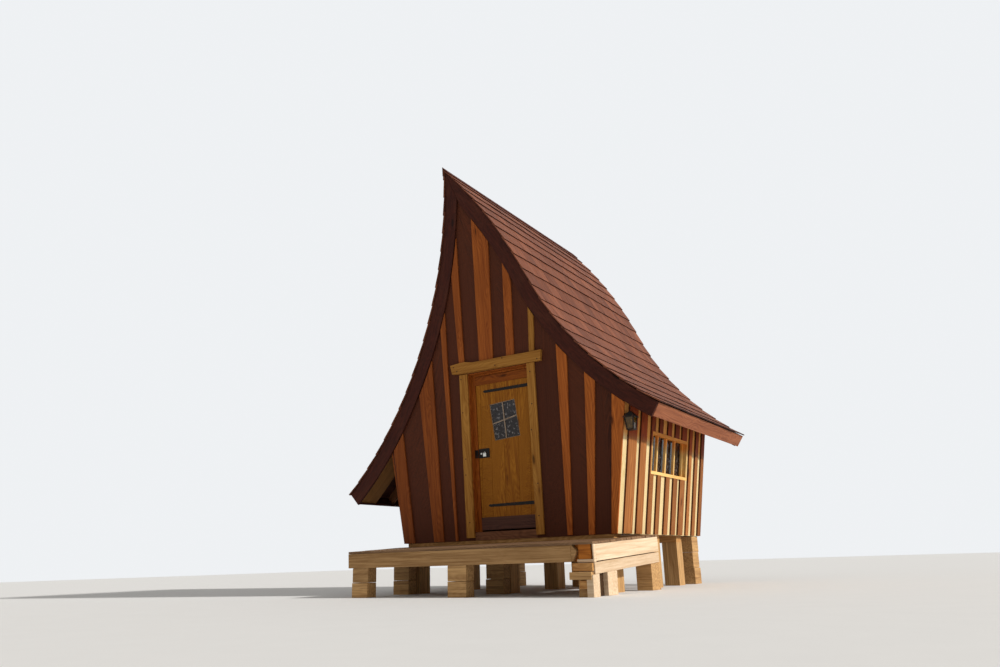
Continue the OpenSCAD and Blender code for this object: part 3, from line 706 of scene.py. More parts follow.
def side_wall(side, mats):
    """Narrow boards, with wide covers over their joints. Only the right wall has a window."""
    wall = Boards(13 if side > 0 else 14)
    place = right_place if side > 0 else left_place
    lean = tan(RIGHT_LEAN) if side > 0 else tan(LEFT_LEAN)
    top = edge_top((side * HALF_W, side * lean), RAFTER_TOP)

    def add(y0, y1, z0, z1, near, far, **look):
        for part in around_window(side, y0, y1, z0, z1):
            wall.prism(rectangle(*part), place, near, far, **look)

    ends = [WALL_FACE] + [(a + b) / 2 for a, b in SIDE_COVERS[:-1]] + [BACK_FACE]
    for a, b in zip(ends, ends[1:]):
        add(a, b, WALL_FOOT, top, -DARK_T, 0, tone=wall.rng.random())
    add(-INNER_L, INNER_L, WALL_FOOT, top, -WALL_T, -CORE_T, slot=2)
    for a, b in SIDE_COVERS:
        # The covers' edges take the fourth material, the dark boards' colour: painted shade on their edges
        add(a, b, WALL_FOOT + 0.006, top - 0.022, 0, COVER_T, slot=1, tone=wall.rng.random(), edge_slot=3)
    nodes = ["right_wall_front", "right_wall_back", "right_wall_middle"] if side > 0 else ["left_wall"]
    wall.build(f"{SIDES[side]}_wall_boards", mats, nodes, WALL_BEVEL)


def around_window(side, y0, y1, z0, z1):
    """The parts of an upright board that a window leaves."""
    if side < 0 or y1 <= WINDOW_FRONT or y0 >= WINDOW_BACK:
        return [(y0, y1, z0, z1)]
    parts = []
    if WINDOW_FRONT - y0 > LEAST_BOARD:
        parts.append((y0, WINDOW_FRONT, z0, z1))
    if y1 - WINDOW_BACK > LEAST_BOARD:
        parts.append((WINDOW_BACK, y1, z0, z1))
    low, high = max(y0, WINDOW_FRONT), min(y1, WINDOW_BACK)
    return parts + [(low, high, z0, WINDOW_Z), (low, high, WINDOW_TOP, z1)]


def side_window(frame_mats, pane_mats):
    """Frame round the side window, and the one pane behind its bars."""
    members = Boards(82)
    low, high = WINDOW_Z + WINDOW_BAR, WINDOW_TOP - WINDOW_BAR
    for z0, z1, proud in ((WINDOW_Z, low, WINDOW_PROUD + 0.004), (high, WINDOW_TOP, WINDOW_PROUD)):
        members.prism(rectangle(WINDOW_FRONT, WINDOW_BACK, z0, z1), right_place, -WALL_T, proud, along="u")
    for a, b in ((WINDOW_FRONT, WINDOW_FRONT + WINDOW_BAR), (WINDOW_BACK - WINDOW_BAR, WINDOW_BACK)):
        members.prism(rectangle(a, b, low, high), right_place, -WALL_T, WINDOW_PROUD - 0.001)
    members.build("side_window_frame", frame_mats, ["window_frame"], bevel=0.002)

    pane = Boards(83)
    rebate, near, far = 0.02, -0.082, -0.078
    z0, z1 = WINDOW_Z + rebate, WINDOW_TOP - rebate
    pane.prism(rectangle(WINDOW_FRONT + rebate, WINDOW_BACK - rebate, z0, z1), right_place, near, far)
    pane.build("side_window_pane", pane_mats, ["window_glass"])


def window_bars(mats):
    """Three uprights in the side window, and a thin strip at each side of the panes."""
    bars = Boards(81)
    y0, y1 = WINDOW_FRONT + WINDOW_BAR, WINDOW_BACK - WINDOW_BAR
    z0, z1 = WINDOW_Z + WINDOW_BAR, WINDOW_TOP - WINDOW_BAR
    near, far, half, strip = -0.062, -0.030, 0.019, 0.016
    for y in UPRIGHTS:
        bars.prism(rectangle(y - half, y + half, z0, z1), right_place, near, far)
    for a, b in ((y0, y0 + strip), (y1 - strip, y1)):
        bars.prism(rectangle(a, b, z0, z1), right_place, near, far - 0.004)
    bars.build("side_window_bars", mats, bevel=0.0015)


# Roof

FASCIA_PROUD = 0.006
FASCIA_PAST = 0.020
BACK_SOFFIT_T = 0.016
BACK_SOFFIT_DEPTH = SHINGLE_T + BARGE_W - 0.045
EAVE_SOFFIT_T = 0.014
# How far behind the front bargeboard the board under the left eave starts and ends
EAVE_SOFFIT = (0.02, 0.34)
RIDGE_W = 0.11
RIDGE_PAST = 0.016


def slope_bar(boards, side, d0, d1, front, back, s0=0.0, s1=None, steps=40, wave=0.0):
    """Curved board that follows a slope between two depths, from front(z) to back(z)."""
    sections, grain = [], []
    phase = boards.rng.uniform(0, 6)
    turn = -1 if side < 0 else 1
    for t in spaced(0, 1, steps):
        section, coords = [], []
        for d, edge in ((d0, front), (d0, back), (d1, back), (d1, front)):
            end = slope_top(side, d) if s1 is None else s1
            s = s0 + (end - s0) * t
            depth = d + (wave * sin(s * 3.1 + phase) if d == d1 else 0)
            p = slope_point(side, s, depth)
            section.append(Vector((p.x, edge(p.y), p.y)))
            coords.append((s, edge(p.y), d))
        sections.append(section[::turn])
        grain.append(coords[::turn])
    boards.tube(sections, grain)


def bargeboards(mats):
    for end, name in enumerate(("front", "back")):
        for side, word in SIDES.items():
            boards = Boards(21 + end * 2 + side)
            if end == 0:
                edges = (rake_front, lambda z: rake_front(z, BARGE_T))
            else:
                edges = (lambda z: rake_back(z, BARGE_T), rake_back)
            s0 = FASCIA_T if end == 1 and side > 0 else 0.0
            slope_bar(boards, side, SHINGLE_T, SHINGLE_T + BARGE_W, *edges, s0=s0, steps=56, wave=0.003)
            boards.build(f"bargeboard_{name}_{word}", mats, [f"barge_{name}_{word}"], 0.003)


def right_fascia(mats):
    """Board across the rafter ends of the right slope, from the front bargeboard past the back one."""
    board = Boards(28)
    inward, out = toward(RIGHT_END + pi), -toward(RIGHT_END).orthogonal()
    near, far = FASCIA_PROUD, FASCIA_PROUD - FASCIA_T
    top, foot = SHINGLE_T, SHINGLE_T + FASCIA_W
    corners = [RIGHT_EAVE + inward * depth + out * past
               for depth, past in ((top, near), (top, far), (foot, far), (foot, near))]
    edges = (lambda z: rake_front(z, BARGE_T + 0.001), lambda z: rake_back(z, -FASCIA_PAST))
    rows = [[Vector((p.x, edge(p.y), p.y)) for p in corners] for edge in edges]
    board.tube(rows, [[(p.y, p.z, p.x) for p in row] for row in rows])
    board.build("fascia_board_right", mats, ["fascia_right"], bevel=0.003)


def soffits(mats):
    """Light boards under the overhang behind the back wall, and under the left eave at the front."""
    back = Boards(32)
    for side in SIDES:
        slope_bar(back, side, BACK_SOFFIT_DEPTH - BACK_SOFFIT_T, BACK_SOFFIT_DEPTH,
                  lambda z: lean_y(BACK_FACE + COVER_T + 0.001, z),
                  lambda z: rake_back(z, BARGE_T + 0.045), s0=0.03)
    back.build("soffit_boards_back", mats, bevel=0.002)

    # The front one runs up the left slope as far as the wall
    eave = Boards(33)
    low = RAFTER_TOP + RAFTER_H + 0.001
    wall_s = 0.0
    while slope_point(-1, wall_s, low).x < left_place(0, slope_point(-1, wall_s, low).y, COVER_T).x:
        wall_s += 0.01
    edges = [lambda z, inset=inset: rake_front(z, BARGE_T + inset) for inset in EAVE_SOFFIT]
    slope_bar(eave, -1, low, low + EAVE_SOFFIT_T, *edges, s1=wall_s, steps=12)
    eave.build("soffit_board_left_eave", mats, bevel=0.002)


COURSE = 0.241
COURSE_LAP = 0.05
BUTT_T = 0.016
SHINGLE_WIDTHS = (0.13, 0.30)
LEAST_SHINGLE = 0.12
SHINGLE_GAP = 0.0015
NEAR = 1e-6


def shingles(side, mats):
    """Courses of split shingles, each lying on the one below it."""
    roof = Boards(41 + side)
    top = slope_top(side, 0)
    first = -SHINGLE_LIP - 0.006
    for k in range(int(top / COURSE) + 1):
        s0 = first + k * COURSE
        s1 = min(s0 + COURSE + COURSE_LAP, top - 0.020)
        if s1 - s0 < 0.03:
            continue
        z = slope_point(side, s0, 0).y
        front, back = rake_front(z, -SHINGLE_LIP), rake_back(z, -SHINGLE_LIP)
        y = front
        while y < back - 0.001:
            width = roof.rng.uniform(*SHINGLE_WIDTHS)
            if back - (y + width) < LEAST_SHINGLE:
                width = back - y
            shingle(roof, side, (s0, s1), (y, y + width), (front, back))
            y += width
    word = SIDES[side]
    roof.build(f"shingle_courses_{word}", mats, [f"shingles_{word}"], bevel=0.0015)


def shingle(roof, side, along, across, ends):
    """One shingle: along the slope, across it, and between which ends its course runs."""
    (s0, s1), (y0, y1) = along, across
    butt = s0 + roof.rng.uniform(-0.005, 0.005)
    butt_top = -0.003 + roof.rng.uniform(-0.002, 0.002)
    head_top, head_under = 0.0125, SHINGLE_T - 0.001
    rows, grain = [], []
    for s, at, upper, under in ((butt, s0, butt_top, butt_top + BUTT_T), (s1, s1, head_top, head_under)):
        z = slope_point(side, s, 0).y
        ya = rake_front(z, -SHINGLE_LIP) if abs(y0 - ends[0]) < NEAR else y0 + SHINGLE_GAP
        yb = rake_back(z, -SHINGLE_LIP) if abs(y1 - ends[1]) < NEAR else y1 - SHINGLE_GAP
        a, b = slope_point(side, s, upper), slope_point(side, s, under)
        row = [Vector((p.x, y, p.y)) for p, y in ((a, ya), (a, yb), (b, yb), (b, ya))]
        row = row[::-1] if side < 0 else row
        rows.append(row)
        grain.append([(at, p.y, 0.0) for p in row])
    # The butt end takes the second material: painted shade for the shadow line under each course
    roof.tube(rows, grain, end_slot=1)


def ridge(mats):
    """Two narrow boards over the peak."""
    boards = Boards(51)
    for side in SIDES:
        slope_bar(boards, side, -0.007, 0.008, lambda z: rake_front(z, -RIDGE_PAST),
                  lambda z: rake_back(z, -RIDGE_PAST), s0=slope_top(side, 0) - RIDGE_W, steps=3)
    boards.build("ridge_cap_boards", mats, ["ridge_boards"], bevel=0.0005)


# Door

# Joints between the planks: how far across the doorway each one is at a low and at a high place
PLANK_JOINTS = [(0.091, 0.137), (0.239, 0.288), (0.429, 0.465), (0.628, 0.685), (0.788, 0.855)]
PLANK_LOW, PLANK_HIGH = 1.090, 2.588
# The window in the door: its lower left corner, its size and its turn
PANE_FOOT = Vector((-0.011, 1.801))
PANE_W, PANE_H = 0.372, 0.450
PANE_TURN = radians(4.2)
BAR_HALF = 0.007
HEAD_H = 0.106
KICK_H = 0.152
CROSS_T = 0.012
# Heights of the strap hinges, and the step between their nails
STRAPS = (LEAF_FOOT + 0.291, LEAF_TOP - 0.195)
STRAP_STEP = 0.112
KNOB = (-0.224, 1.660)


def plank_edge(joint, z):
    return joint[0] + (joint[1] - joint[0]) * (z - PLANK_LOW) / (PLANK_HIGH - PLANK_LOW)


def pane_corner(u, v, grow=0.0):
    """Place in the window in the door: u and v run from 0 to 1 across and up."""
    across = Vector((cos(PANE_TURN), sin(PANE_TURN)))
    up = Vector((-sin(PANE_TURN), cos(PANE_TURN)))
    right, rise = (grow if share > 0.5 else -grow for share in (u, v))
    return PANE_FOOT + across * (u * PANE_W + right) + up * (v * PANE_H + rise)


def pane_corners(grow=0.0):
    return [pane_corner(u, v, grow) for u, v in rectangle(0, 1, 0, 1)]


def pane_lines():
    """The four lines round the window in the door, each positive outside it."""
    corners = pane_corners()
    lines = []
    for a, b in zip(corners, corners[1:] + corners[:1]):
        side = Vector((b.y - a.y, a.x - b.x)).normalized()
        lines.append(lambda p, a=a, side=side: side.dot(Vector(p) - a))
    return lines


def clip(outline, keep):
    """Part of a convex outline on the side of a line where keep is positive."""
    result = []
    for a, b in zip(outline, outline[1:] + outline[:1]):
        ka, kb = keep(a), keep(b)
        if ka >= 0:
            result.append(a)
        if (ka >= 0) != (kb >= 0):
            t = ka / (ka - kb)
            result.append((a[0] + (b[0] - a[0]) * t, a[1] + (b[1] - a[1]) * t))
    return result


def door_leaf(mats):
    """Planks of the leaf, cut round its window, and the boards across its head and foot."""
    leaf = Boards(61)
    edges = [(LEAF_X0, LEAF_X0)] + PLANK_JOINTS + [(LEAF_X1, LEAF_X1)]
    gap = 0.0012
    for left, right in zip(edges, edges[1:]):
        corners = rectangle((left, gap), (right, -gap), LEAF_FOOT, LEAF_TOP)
        rest = [(door_x(plank_edge(joint, z) + shift, z), z) for (joint, shift), z in corners]
        tone = leaf.rng.random()
        for line in pane_lines():
            outside = clip(rest, line)
            if len(outside) > 2:
                leaf.prism(outside, leaf_place, -LEAF_T, 0, tone=tone)
            rest = clip(rest, lambda p: -line(p))
            if len(rest) < 3:
                break
    leaf.build("door_planks", mats, ["door_leaf"], 0.002, "door")

    face = Boards(62)
    for z0, z1, slot in ((LEAF_TOP - HEAD_H, LEAF_TOP, 0), (LEAF_FOOT, LEAF_FOOT + KICK_H, 1)):
        face.prism(rectangle(LEAF_X0, LEAF_X1 - 0.015, z0, z1), door_place, 0, CROSS_T, along="u", slot=slot)
    face.build("door_cross_boards", mats[1:], ["door_face_boards"], 0.002, "door")


def pane_bars(mats):
    """Thin pale bars of the window in the door, and a narrow rim round it."""
    bars = Boards(63)
    outer, inner = pane_corners(), pane_corners(-0.006)
    for i in range(4):
        j = (i + 1) % 4
        bars.prism([outer[i], outer[j], inner[j], inner[i]], leaf_place, -LEAF_T + 0.004, -0.006)
    half, back = Vector((BAR_HALF, 0)), -0.013
    low, high = pane_corner(0.46, 0.01), pane_corner(0.51, 0.99)
    bars.prism([low - half, low + half, high + half, high - half], leaf_place, back, -0.003)
    half = Vector((0, BAR_HALF))
    left, right = pane_corner(0.01, 0.46), pane_corner(0.99, 0.56)
    bars.prism([left - half, right - half, right + half, left + half], leaf_place, back, -0.0035, "u")
    bars.build("door_window_bars", mats, bevel=0.001, body="door")


# Outline of the lintel: its level underside, and its uneven upper edge from right to left
LINTEL = [
    (-0.498, 2.680), (-0.389, 2.666), (-0.066, 2.661), (0.620, 2.659), (0.806, 2.656), (0.824, 2.785),
    (0.560, 2.783), (0.320, 2.787), (0.060, 2.783), (-0.174, 2.786), (-0.303, 2.810), (-0.420, 2.803),
    (-0.518, 2.794),
]
CASING_FOOT = WALL_FOOT + 0.030
LEFT_CASING_W = 0.120
RIGHT_CASING_W = 0.106


def door_surround(mats, lining_mats):
    """Casings, the lining of the doorway's left side and top, and the lintel."""
    trim = Boards(64)
    for a, b in ((-LEFT_CASING_W, 0.0), (DOOR_W, DOOR_W + RIGHT_CASING_W)):
        trim.prism(door_strip(a, b, CASING_FOOT, DOOR_TOP), front_place, 0.0, CASING_T)
    trim.build("door_casing_boards", mats, ["door_casings"], bevel=0.003)

    lining = Boards(66)
    thick, top = 0.010, DOOR_TOP - 0.0005
    for a, b, low in ((0.0005, thick, CASING_FOOT), (thick + 0.001, DOOR_W - 0.002, top - thick)):
        lining.prism(door_strip(a, b, low, top), front_place, -0.063, 0.0)
    lining.build("doorway_lining_boards", lining_mats)

    beam = Boards(65)
    beam.prism(LINTEL, front_place, 0, LINTEL_T, along="u")
    beam.build("door_lintel_beam", mats, ["lintel"], bevel=0.004)


# Nails in the casings and in the lintel: place along the wall and height
CASING_NAILS = [
    (-0.378, 2.600), (-0.394, 2.181), (-0.410, 1.605), (-0.430, 1.411), (-0.433, 0.835),
    (0.637, 2.548), (0.618, 2.163), (0.575, 1.860), (0.588, 1.233), (0.556, 0.865),
]
LINTEL_NAILS = [(-0.464, 2.762), (-0.417, 2.702), (0.163, 2.695), (0.274, 2.768), (0.762, 2.680)]


def nails(name, spots, materials, radius, height, body="cabin"):
    """Round nail heads on the front wall or on the door, at the middles given."""
    boards = Boards(70)
    n = 8
    out = Vector((0, -cos(FRONT_LEAN), -sin(FRONT_LEAN))).normalized()
    a = out.orthogonal().normalized()
    b = out.cross(a)
    for middle in spots:
        boards.tube([[middle + out * h + (a * cos(t) + b * sin(t)) * r
                      for t in (2 * pi * i / n for i in range(n))]
                     for r, h in ((radius, -0.001), (radius, height * 0.5), (radius * 0.6, height))])
    boards.build(name, materials, body=body)


def surround_nails(mats):
    spots = [front_place(x, z, CASING_T) for x, z in CASING_NAILS]
    spots += [front_place(x, z, LINTEL_T) for x, z in LINTEL_NAILS]
    nails("door_surround_nail_heads", spots, mats, 0.008, 0.002)


def strap_nails(mats):
    """Two uneven rows of nails in the strap hinges."""
    spots = []
    for z in STRAPS:
        for k in range(6):
            rise = 0.008 if k % 2 else -0.008
            spots.append(door_place(LEAF_X1 - 0.06 - k * STRAP_STEP, z + rise, 0.005))
    nails("strap_nail_heads", spots, mats, 0.007, 0.003, body="door")


def lock_parts(black, steel_material):
    """Plate on the stile beside the hasp, and the knob on the hasp."""
    plate = Boards(66)
    plate.prism(rectangle(0.010, 0.058, 1.612, 1.712), door_place, 0.0, 0.006)
    plate.build("hasp_stile_plate", [black], bevel=0.001)
    nails("hasp_knob", [leaf_place(*KNOB, 0.006)], [steel_material], 0.013, 0.010, body="door")


# Deck

DECK_L = 0.955
DECK_FRONT = WALL_FACE - DECK_L
# How far the deck's right side runs on beside the cabin, past the front wall
PAST_WALL = 0.764
DECK_Z = 0.500
DECK_FALL = radians(3)
DECK_LEFT = -HALF_W - 0.080
DECK_RIGHT = HALF_W + 0.150
TIMBER_W = 0.190
TIMBER_H = 0.166
LOW_H = 0.122
LOW_TOP = -TIMBER_H - 0.008
SIDE_X = DECK_RIGHT - TIMBER_W
SIDE_L = (DECK_L + PAST_WALL) / cos(DECK_FALL)
PLANK_T = 0.026
BLOCK_W = 0.255
# Where the front timber ends in a hewn point in front of the side timber, and how far that is cut back
POINT_X = SIDE_X - 0.060
POINT_L = 0.060
FRONT_END = 0.062


def on_deck(x, y, z):
    """Place on the deck, whose top falls towards the front. y is counted from its front edge."""
    return Vector((x, DECK_FRONT + y * cos(DECK_FALL) - z * sin(DECK_FALL),
                   DECK_Z + y * sin(DECK_FALL) + z * cos(DECK_FALL)))


def rough_timber(boards, x0, x1, y0, y1, z0, z1, along, slot=0):
    """Sawn timber with slightly uneven arrises, in the deck's own frame."""
    seeds = [boards.rng.uniform(0, 50) for _ in range(4)]
    if along == "X":
        low, high, corners, middle = x0, x1, rectangle(y0, y1, z0, z1), (y0 + y1) / 2
    else:
        low, high, corners, middle = y0, y1, rectangle(x1, x0, z0, z1), (x0 + x1) / 2
    sections, grain = [], []
    for s in spaced(low, high, 18):
        coords = []
        for seed, (p, q) in zip(seeds, corners):
            shift = abs(noise.noise(Vector((s * 2.3, seed, 0))) * 0.004)
            coords.append((s, p - copysign(shift, p - middle), q - copysign(shift, q - (z0 + z1) / 2)))
        sections.append([on_deck(s, p, q) if along == "X" else on_deck(p, s, q) for s, p, q in coords])
        grain.append(coords)
    boards.tube(sections, grain, slot)


def end_block(boards, outline, y0, y1, slot=0):
    """Short timber whose end shows at the deck's front corner, with an outline across the deck."""
    boards.tube([[on_deck(x, y, z) for x, z in outline] for y in (y0, y1)], slot=slot)


def deck(mats):
    """The deck's timbers: two across it, and two on each other at its right side."""
    pale, orange, shaded = 0, 1, 2
    timbers = Boards(91)
    length = DECK_L / cos(DECK_FALL)
    rough_timber(timbers, DECK_LEFT, POINT_X, 0, TIMBER_W, -TIMBER_H, 0, "X", slot=shaded)
    point = [(POINT_X, -TIMBER_H), (POINT_X + 0.022, -0.152), (SIDE_X + 0.006, -0.062),
             (POINT_X + 0.010, 0.0), (POINT_X, 0.0)]
    end_block(timbers, point, 0.001, POINT_L, slot=shaded)
    inner = 0.002
    behind = rectangle(POINT_X + inner, SIDE_X - inner, -TIMBER_H + inner, -inner)
    end_block(timbers, behind, POINT_L + 0.003, 0.120, slot=orange)
    rough_timber(timbers, DECK_LEFT, SIDE_X, length - TIMBER_W, length, -TIMBER_H, 0, "X", slot=shaded)
    timbers.build("deck_cross_beams", mats, ["deck_cross_timbers"], bevel=0.006)

    sides = Boards(92)
    rough_timber(sides, SIDE_X, DECK_RIGHT, FRONT_END + 0.002, SIDE_L, -TIMBER_H, 0, "Y")
    # Ends that show beside the point: orange ones, and thin pale ones under them and at the corner
    for x0, x1, z0, z1, y0, y1, slot in (
            (SIDE_X - 0.024, SIDE_X + 0.155, -0.141, 0.012, FRONT_END, 0.120, orange),
            (SIDE_X - 0.002, DECK_RIGHT, -0.172, -0.143, 0.012, FRONT_END, pale),
            (SIDE_X + 0.018, SIDE_X + 0.155, -0.141, 0.012, 0.014, FRONT_END, orange),
            (DECK_RIGHT - 0.016, DECK_RIGHT, -0.142, 0.0, 0.012, FRONT_END + 0.002, pale)):
        end_block(sides, rectangle(x0, x1, z0, z1), y0, y1, slot)
    sides.build("deck_side_beam", mats, ["deck_side_timber"], bevel=0.004)

    low = Boards(93)
    rough_timber(low, SIDE_X, DECK_RIGHT, 0.020, SIDE_L, -TIMBER_H - LOW_H, LOW_TOP, "Y")
    low.build("deck_low_beam", mats, ["deck_low_timber"], bevel=0.006)


def under_deck(y, depth):
    """Height of a place under the deck's sloping top, at a depth below it."""
    return DECK_Z + (y - DECK_FRONT) * tan(DECK_FALL) - depth / cos(DECK_FALL)


def standing_block(boards, x0, x1, y0, y1, depth=0, foot=0.0, top=None, slot=0):
    """Block from a foot to a level top, or to a depth below the deck's top. y is counted as in on_deck."""
    corners = rectangle(x0, x1, DECK_FRONT + y0, DECK_FRONT + y1)
    lower = [Vector((x, y, foot)) for x, y in corners]
    upper = [Vector((x, y, under_deck(y, depth) if top is None else top)) for x, y in corners]
    boards.tube([lower, upper], slot=slot)


def deck_blocks(mats):
    """Blocks under the deck, each of two pieces, and the post and packing pieces at its front corner."""
    blocks = Boards(95)
    pale, packing, timber, shaded = 0, 1, 2, 3
    length, split, front, back = TIMBER_W - 0.030, 0.170, 0.010, DECK_L - TIMBER_W
    left, middle, right = DECK_LEFT + 0.060, -BLOCK_W / 2, SIDE_X - BLOCK_W - 0.120
    for x, y in ((left, front), (middle, front), (left, back), (middle, back), (right, back)):
        skew = blocks.rng.uniform(0.004, 0.014)
        standing_block(blocks, x, x + BLOCK_W - skew, y + 0.004, y + length, top=split - 0.004)
        standing_block(blocks, x + skew, x + BLOCK_W, y, y + length - skew, TIMBER_H, foot=split)
    low, post_x = TIMBER_H + LOW_H, DECK_RIGHT - 0.074
    for x0, x1, y0, y1, slot in (
            (SIDE_X, DECK_RIGHT, DECK_L + PAST_WALL - BLOCK_W, DECK_L + PAST_WALL, pale),
            (SIDE_X + 0.006, DECK_RIGHT - 0.002, 0.310, 0.540, timber),
            (SIDE_X - 0.020, DECK_RIGHT - 0.050, 0.125, 0.304, shaded),
            (post_x, DECK_RIGHT, -0.028, 0.118, timber),
            (SIDE_X, post_x - 0.003, 0.024, 0.160, pale)):
        standing_block(blocks, x0, x1, y0, y1, low, slot=slot)
    # Packing pieces beside the post, from their foot to their top
    for x0, x1, y0, y1, foot, top, slot in (
            (SIDE_X - 0.070, DECK_RIGHT - 0.016, -0.034, 0.018, 0.166, 0.238, pale),
            (SIDE_X - 0.046, DECK_RIGHT - 0.010, -0.010, 0.018, 0.246, 0.322, packing),
            (SIDE_X + 0.030, post_x - 0.004, -0.012, 0.022, 0.080, 0.158, packing)):
        standing_block(blocks, x0, x1, y0, y1, foot=foot, top=top, slot=slot)
    blocks.build("deck_block_pieces", mats, ["deck_blocks"], bevel=0.004)


def corner_piers(mats):
    """Short blocks on wide ones under the back corners, of which the photo shows the right one's top."""
    piers = Boards(96)
    for side in SIDES:
        x0, x1 = sorted((side * (HALF_W - 0.245), side * (HALF_W - 0.010)))
        for z0, z1, inset in ((0, 0.205, 0.0), (0.207, 0.410, 0.008), (0.412, WALL_FOOT - 0.004, 0.003)):
            y0, y1 = BACK_FACE - 0.270, BACK_FACE - 0.030 - inset
            piers.box((x0 + inset, y0, z0), (x1 - inset, y1, z1), along="Y")
    piers.build("back_corner_blocks", mats, bevel=0.004)


def deck_planks(mats):
    """Planks across the deck, and short ones beside the cabin on its right side."""
    planks = Boards(94)
    y, end = 0.0, (DECK_L + 0.015) / cos(DECK_FALL)
    while y < SIDE_L - 0.02:
        width = min(planks.rng.uniform(0.125, 0.150), SIDE_L - y)
        a, b = y + 0.003, y + width - 0.003
        x0 = DECK_LEFT + planks.rng.uniform(0, 0.012)
        if b > end - 0.010:
            x0 = HALF_W + 0.006
            if a < end - 0.010:
                deck_plank(planks, DECK_LEFT, HALF_W, a, end - 0.012)
        deck_plank(planks, x0, DECK_RIGHT - planks.rng.uniform(0, 0.010), a, b)
        y += width
    planks.build("deck_plank_rows", mats, ["deck_boards"], bevel=0.003)


def deck_plank(planks, x0, x1, y0, y1):
    top = PLANK_T + planks.rng.uniform(-0.0015, 0.0)
    planks.tube([[on_deck(x, y, z) for x, y in rectangle(x0, x1, y0, y1)] for z in (0.0, top)])


# Lantern beside the door, with one side towards the wall. Its middle stands 38 mm lower than its solid's,
# 33 mm nearer to the front and 20 mm nearer to the wall.

LANTERN = Vector((1.838, -1.486, 1.792))
LANTERN_H = 0.130


def square(middle, half):
    """Level square round a place."""
    return [middle + Vector((x, y, 0)) for x, y in rectangle(-half, half, -half, half)]


def lantern_ring(half, z):
    return square(LANTERN + Vector((0, 0, z)), half)


def lantern(black, amber):
    """Cap, foot, four corner bars and an arm to the wall, round amber panes."""
    iron_work = Boards(85)
    top, foot = LANTERN_H / 2, -LANTERN_H / 2
    upper, lower, bar = 0.058, 0.044, 0.007
    for rings in (((0.068, top), (0.070, top + 0.006), (0.022, top + 0.060), (0.014, top + 0.070)),
                  ((0.036, foot - 0.012), (0.048, foot - 0.004), (0.048, foot))):
        iron_work.tube([lantern_ring(half, z) for half, z in rings])
    for i in range(4):
        middles = lantern_ring(lower - bar, foot)[i], lantern_ring(upper - bar, top)[i]
        iron_work.tube([square(middle, bar) for middle in middles])
    arm_z = LANTERN.z + top + 0.014
    wall_x = right_place(0, arm_z, 0).x
    iron_work.box((wall_x, LANTERN.y - 0.007, arm_z), (LANTERN.x, LANTERN.y + 0.007, arm_z + 0.014))
    iron_work.box((wall_x - 0.004, LANTERN.y - 0.016, arm_z - 0.030),
                  (wall_x + 0.008, LANTERN.y + 0.016, arm_z + 0.040))
    iron_work.build("lantern_iron_work", [black], ["lantern_frame"], bevel=0.001)

    panes = Boards(86)
    panes.tube([lantern_ring(lower - 0.006, foot), lantern_ring(upper - 0.006, top)])
    panes.build("lantern_panes", [amber], ["lantern_glass"])


# Everything together

def dress(material, *nodes):
    """Puts a material on solids that stay."""
    for node in nodes:
        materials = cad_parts[node].data.materials
        materials.clear()
        materials.append(material)


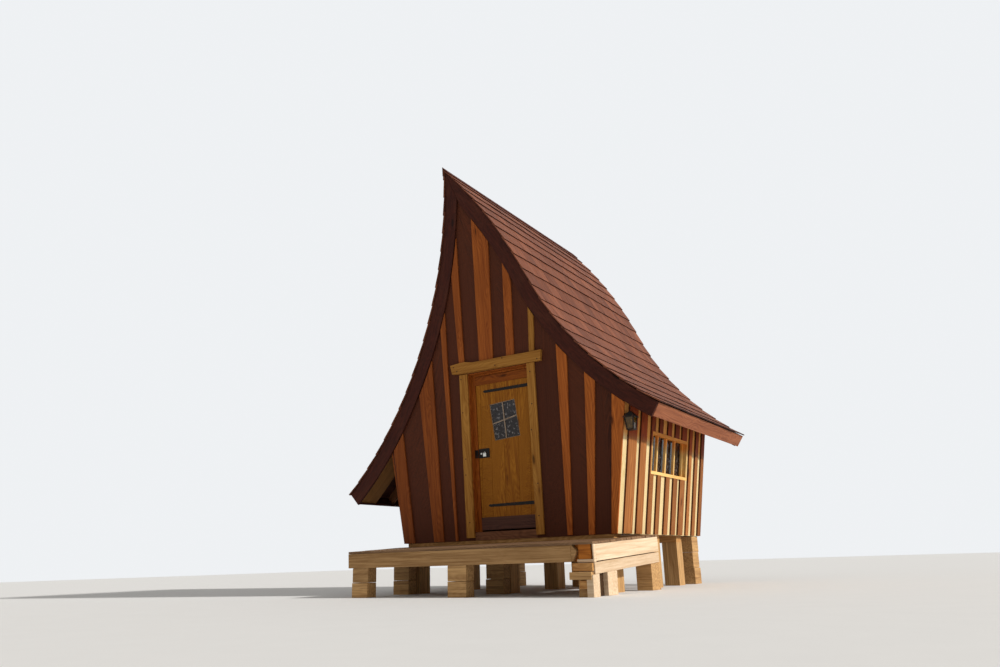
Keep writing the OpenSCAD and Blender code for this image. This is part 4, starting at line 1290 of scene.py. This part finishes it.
def main():
    add_camera()
    add_light()
    add_floor()

    dark = wood("dark_boards", (56, 28, 18), (104, 53, 32), rings=0.3, knots=0.16, spread=0.45,
                worn=(78, 48, 34), wear=0.5)
    orange = wood("orange_boards", (126, 62, 24), (178, 99, 42), knots=0.35, spread=0.6)
    core = wood("wall_core", (120, 80, 46), (164, 116, 70), knots=0.2)
    # The right wall's boards are paler copies of the front's dark and orange boards: painted light for the
    # sunlit wall, with painted shade high up under the eave
    side_board = wood("side_cover_wood_painted_light_and_shade", (118, 65, 30), (180, 118, 64), spread=0.5,
                      painted_shade_tint=(0.78, 0.32, 0.14))
    strip = wood("side_strip_wood_painted_light_and_shade", (208, 180, 122), (240, 222, 178), rings=0.3, knots=0.1, spread=0.16,
                 painted_shade_tint=(1.0, 0.56, 0.26))
    barge_colours = (53, 23, 16), (80, 37, 27)
    barge = wood("bargeboard_wood", *barge_colours, rings=0.25, knots=0.1, spread=0.2,
                 worn=(93, 53, 37), wear=0.4)
    fascia = wood("fascia_wood", (126, 72, 48), (176, 112, 78), knots=0.15)
    soffit = wood("soffit_wood", (112, 76, 36), (152, 108, 58))
    shingle_wood = wood("shingle_wood", (84, 45, 31), (132, 80, 58), rings=0.25, knots=0.03, spread=0.5,
                        worn=(104, 74, 62), wear=0.4)
    # Dark butt ends: painted shade under each course
    butt = wood("shingle_butts_painted_shade", (40, 20, 15), (60, 32, 24), rings=0.2, knots=0.0)
    casing = wood("casing_wood", (134, 85, 30), (180, 128, 60), rings=0.3, knots=0.42, spread=0.16)
    plank = wood("door_wood", (130, 74, 17), (184, 121, 38), rings=0.3, knots=0.25, spread=0.3)
    head = wood("head_board_wood", (112, 54, 17), (164, 90, 30), rings=0.5, knots=0.2)
    kick = wood("kick_board_wood", (68, 44, 38), (102, 68, 58), rings=0.3, knots=0.1)
    bars = wood("pane_bar_wood", (120, 100, 84), (176, 160, 142), knots=0.0)
    door_frame = wood("door_frame_wood", (126, 60, 18), (174, 98, 34), axis="Z", rings=0.4)
    # The window's frame and bars get painted shade high up, where the eave's shadow falls
    sash = wood("sash_wood_painted_shade", (206, 158, 88), (236, 200, 134), knots=0.1, painted_shade_tint=(1.0, 0.60, 0.32))
    timber = wood("deck_timber", (204, 175, 142), (230, 208, 180), rings=0.06, spread=0.16,
                  worn=(176, 146, 106), wear=0.45)
    # The deck timber's front faces: a darker copy of its colour, painted shade
    front_timber = wood("deck_front_timber_painted_shade", (144, 108, 68), (190, 151, 104), rings=0.08, knots=0.35,
                        spread=0.2)
    end_timber = wood("deck_timber_end", (132, 72, 24), (196, 120, 48), rings=0.4, knots=0.1)
    shaded = wood("shaded_block_wood", (44, 30, 18), (76, 54, 34), knots=0.1)
    packing = wood("packing_wood", (150, 100, 54), (204, 156, 98), rings=0.3, knots=0.1)
    planks = wood("deck_plank_wood", (96, 70, 50), (150, 118, 88), rings=0.3, knots=0.2, spread=0.4)
    block_colours = (150, 112, 72), (206, 166, 114)
    block = wood("block_wood", *block_colours, rings=0.15, knots=0.15, spread=0.3)
    black = iron("black_iron")
    lock_steel = steel("padlock_steel")
    # Dark tint: painted shade of the inside; pale specks: painted reflections
    pane = glass("window_glass", (28, 20, 24), waves=9.0, reflection_lift=0.30)

    front_wall([dark, orange, core, casing])
    back_wall([dark, orange])
    # The fourth material paints shade on the edges of the covers
    side_wall(1, [strip, side_board, core, dark])
    side_wall(-1, [orange, dark, core, dark])
    bargeboards([barge])
    soffits([soffit])
    right_fascia([fascia])
    shingles(-1, [shingle_wood, butt])
    shingles(1, [shingle_wood, butt])
    ridge([barge])
    door_leaf([plank, head, kick])
    pane_bars([bars])
    door_surround([casing], [door_frame])
    strap_nails([black])
    surround_nails([black])
    lock_parts(black, lock_steel)
    window_bars([sash])
    lantern(black, glass("amber_glass", (88, 64, 16), waves=20, reflection_lift=0.0))
    deck([timber, end_timber, front_timber])
    deck_blocks([block, packing, timber, shaded])
    corner_piers([block])
    deck_planks([planks])
    side_window([sash], [pane])

    dress(wood("rafter_wood", (84, 50, 30), (124, 80, 50), axis="Z"), "rafters_left", "rafters_right")
    dress(wood("sheathing_wood", (58, 34, 28), (88, 54, 42), axis="Y", board=("Z", 0.12), spread=0.4),
          "roof_boards_left", "roof_boards_right")
    dress(wood("fascia_left_wood", *barge_colours, axis="Y", rings=0.25, knots=0.1), "fascia_left")
    dress(wood("floor_wood", (110, 74, 44), (156, 110, 68), axis="Y", board=("X", 0.14)), "floor_platform")
    dress(wood("bearer_wood", (150, 106, 62), (206, 158, 100), axis="X"), "cross_bearers")
    dress(wood("pier_wood", *block_colours, axis="Z", rings=0.15), "pier_blocks")
    dress(door_frame, "door_frame")
    dress(wood("threshold_wood", (96, 60, 42), (142, 96, 68), axis="X"), "threshold")
    dress(wood("ledge_wood", (124, 72, 22), (170, 110, 40), axis="X"), "door_ledges")
    dress(pane, "door_glass")
    dress(black, "hinge_straps", "hinge_pins", "hasp")
    dress(lock_steel, "padlock")


main()
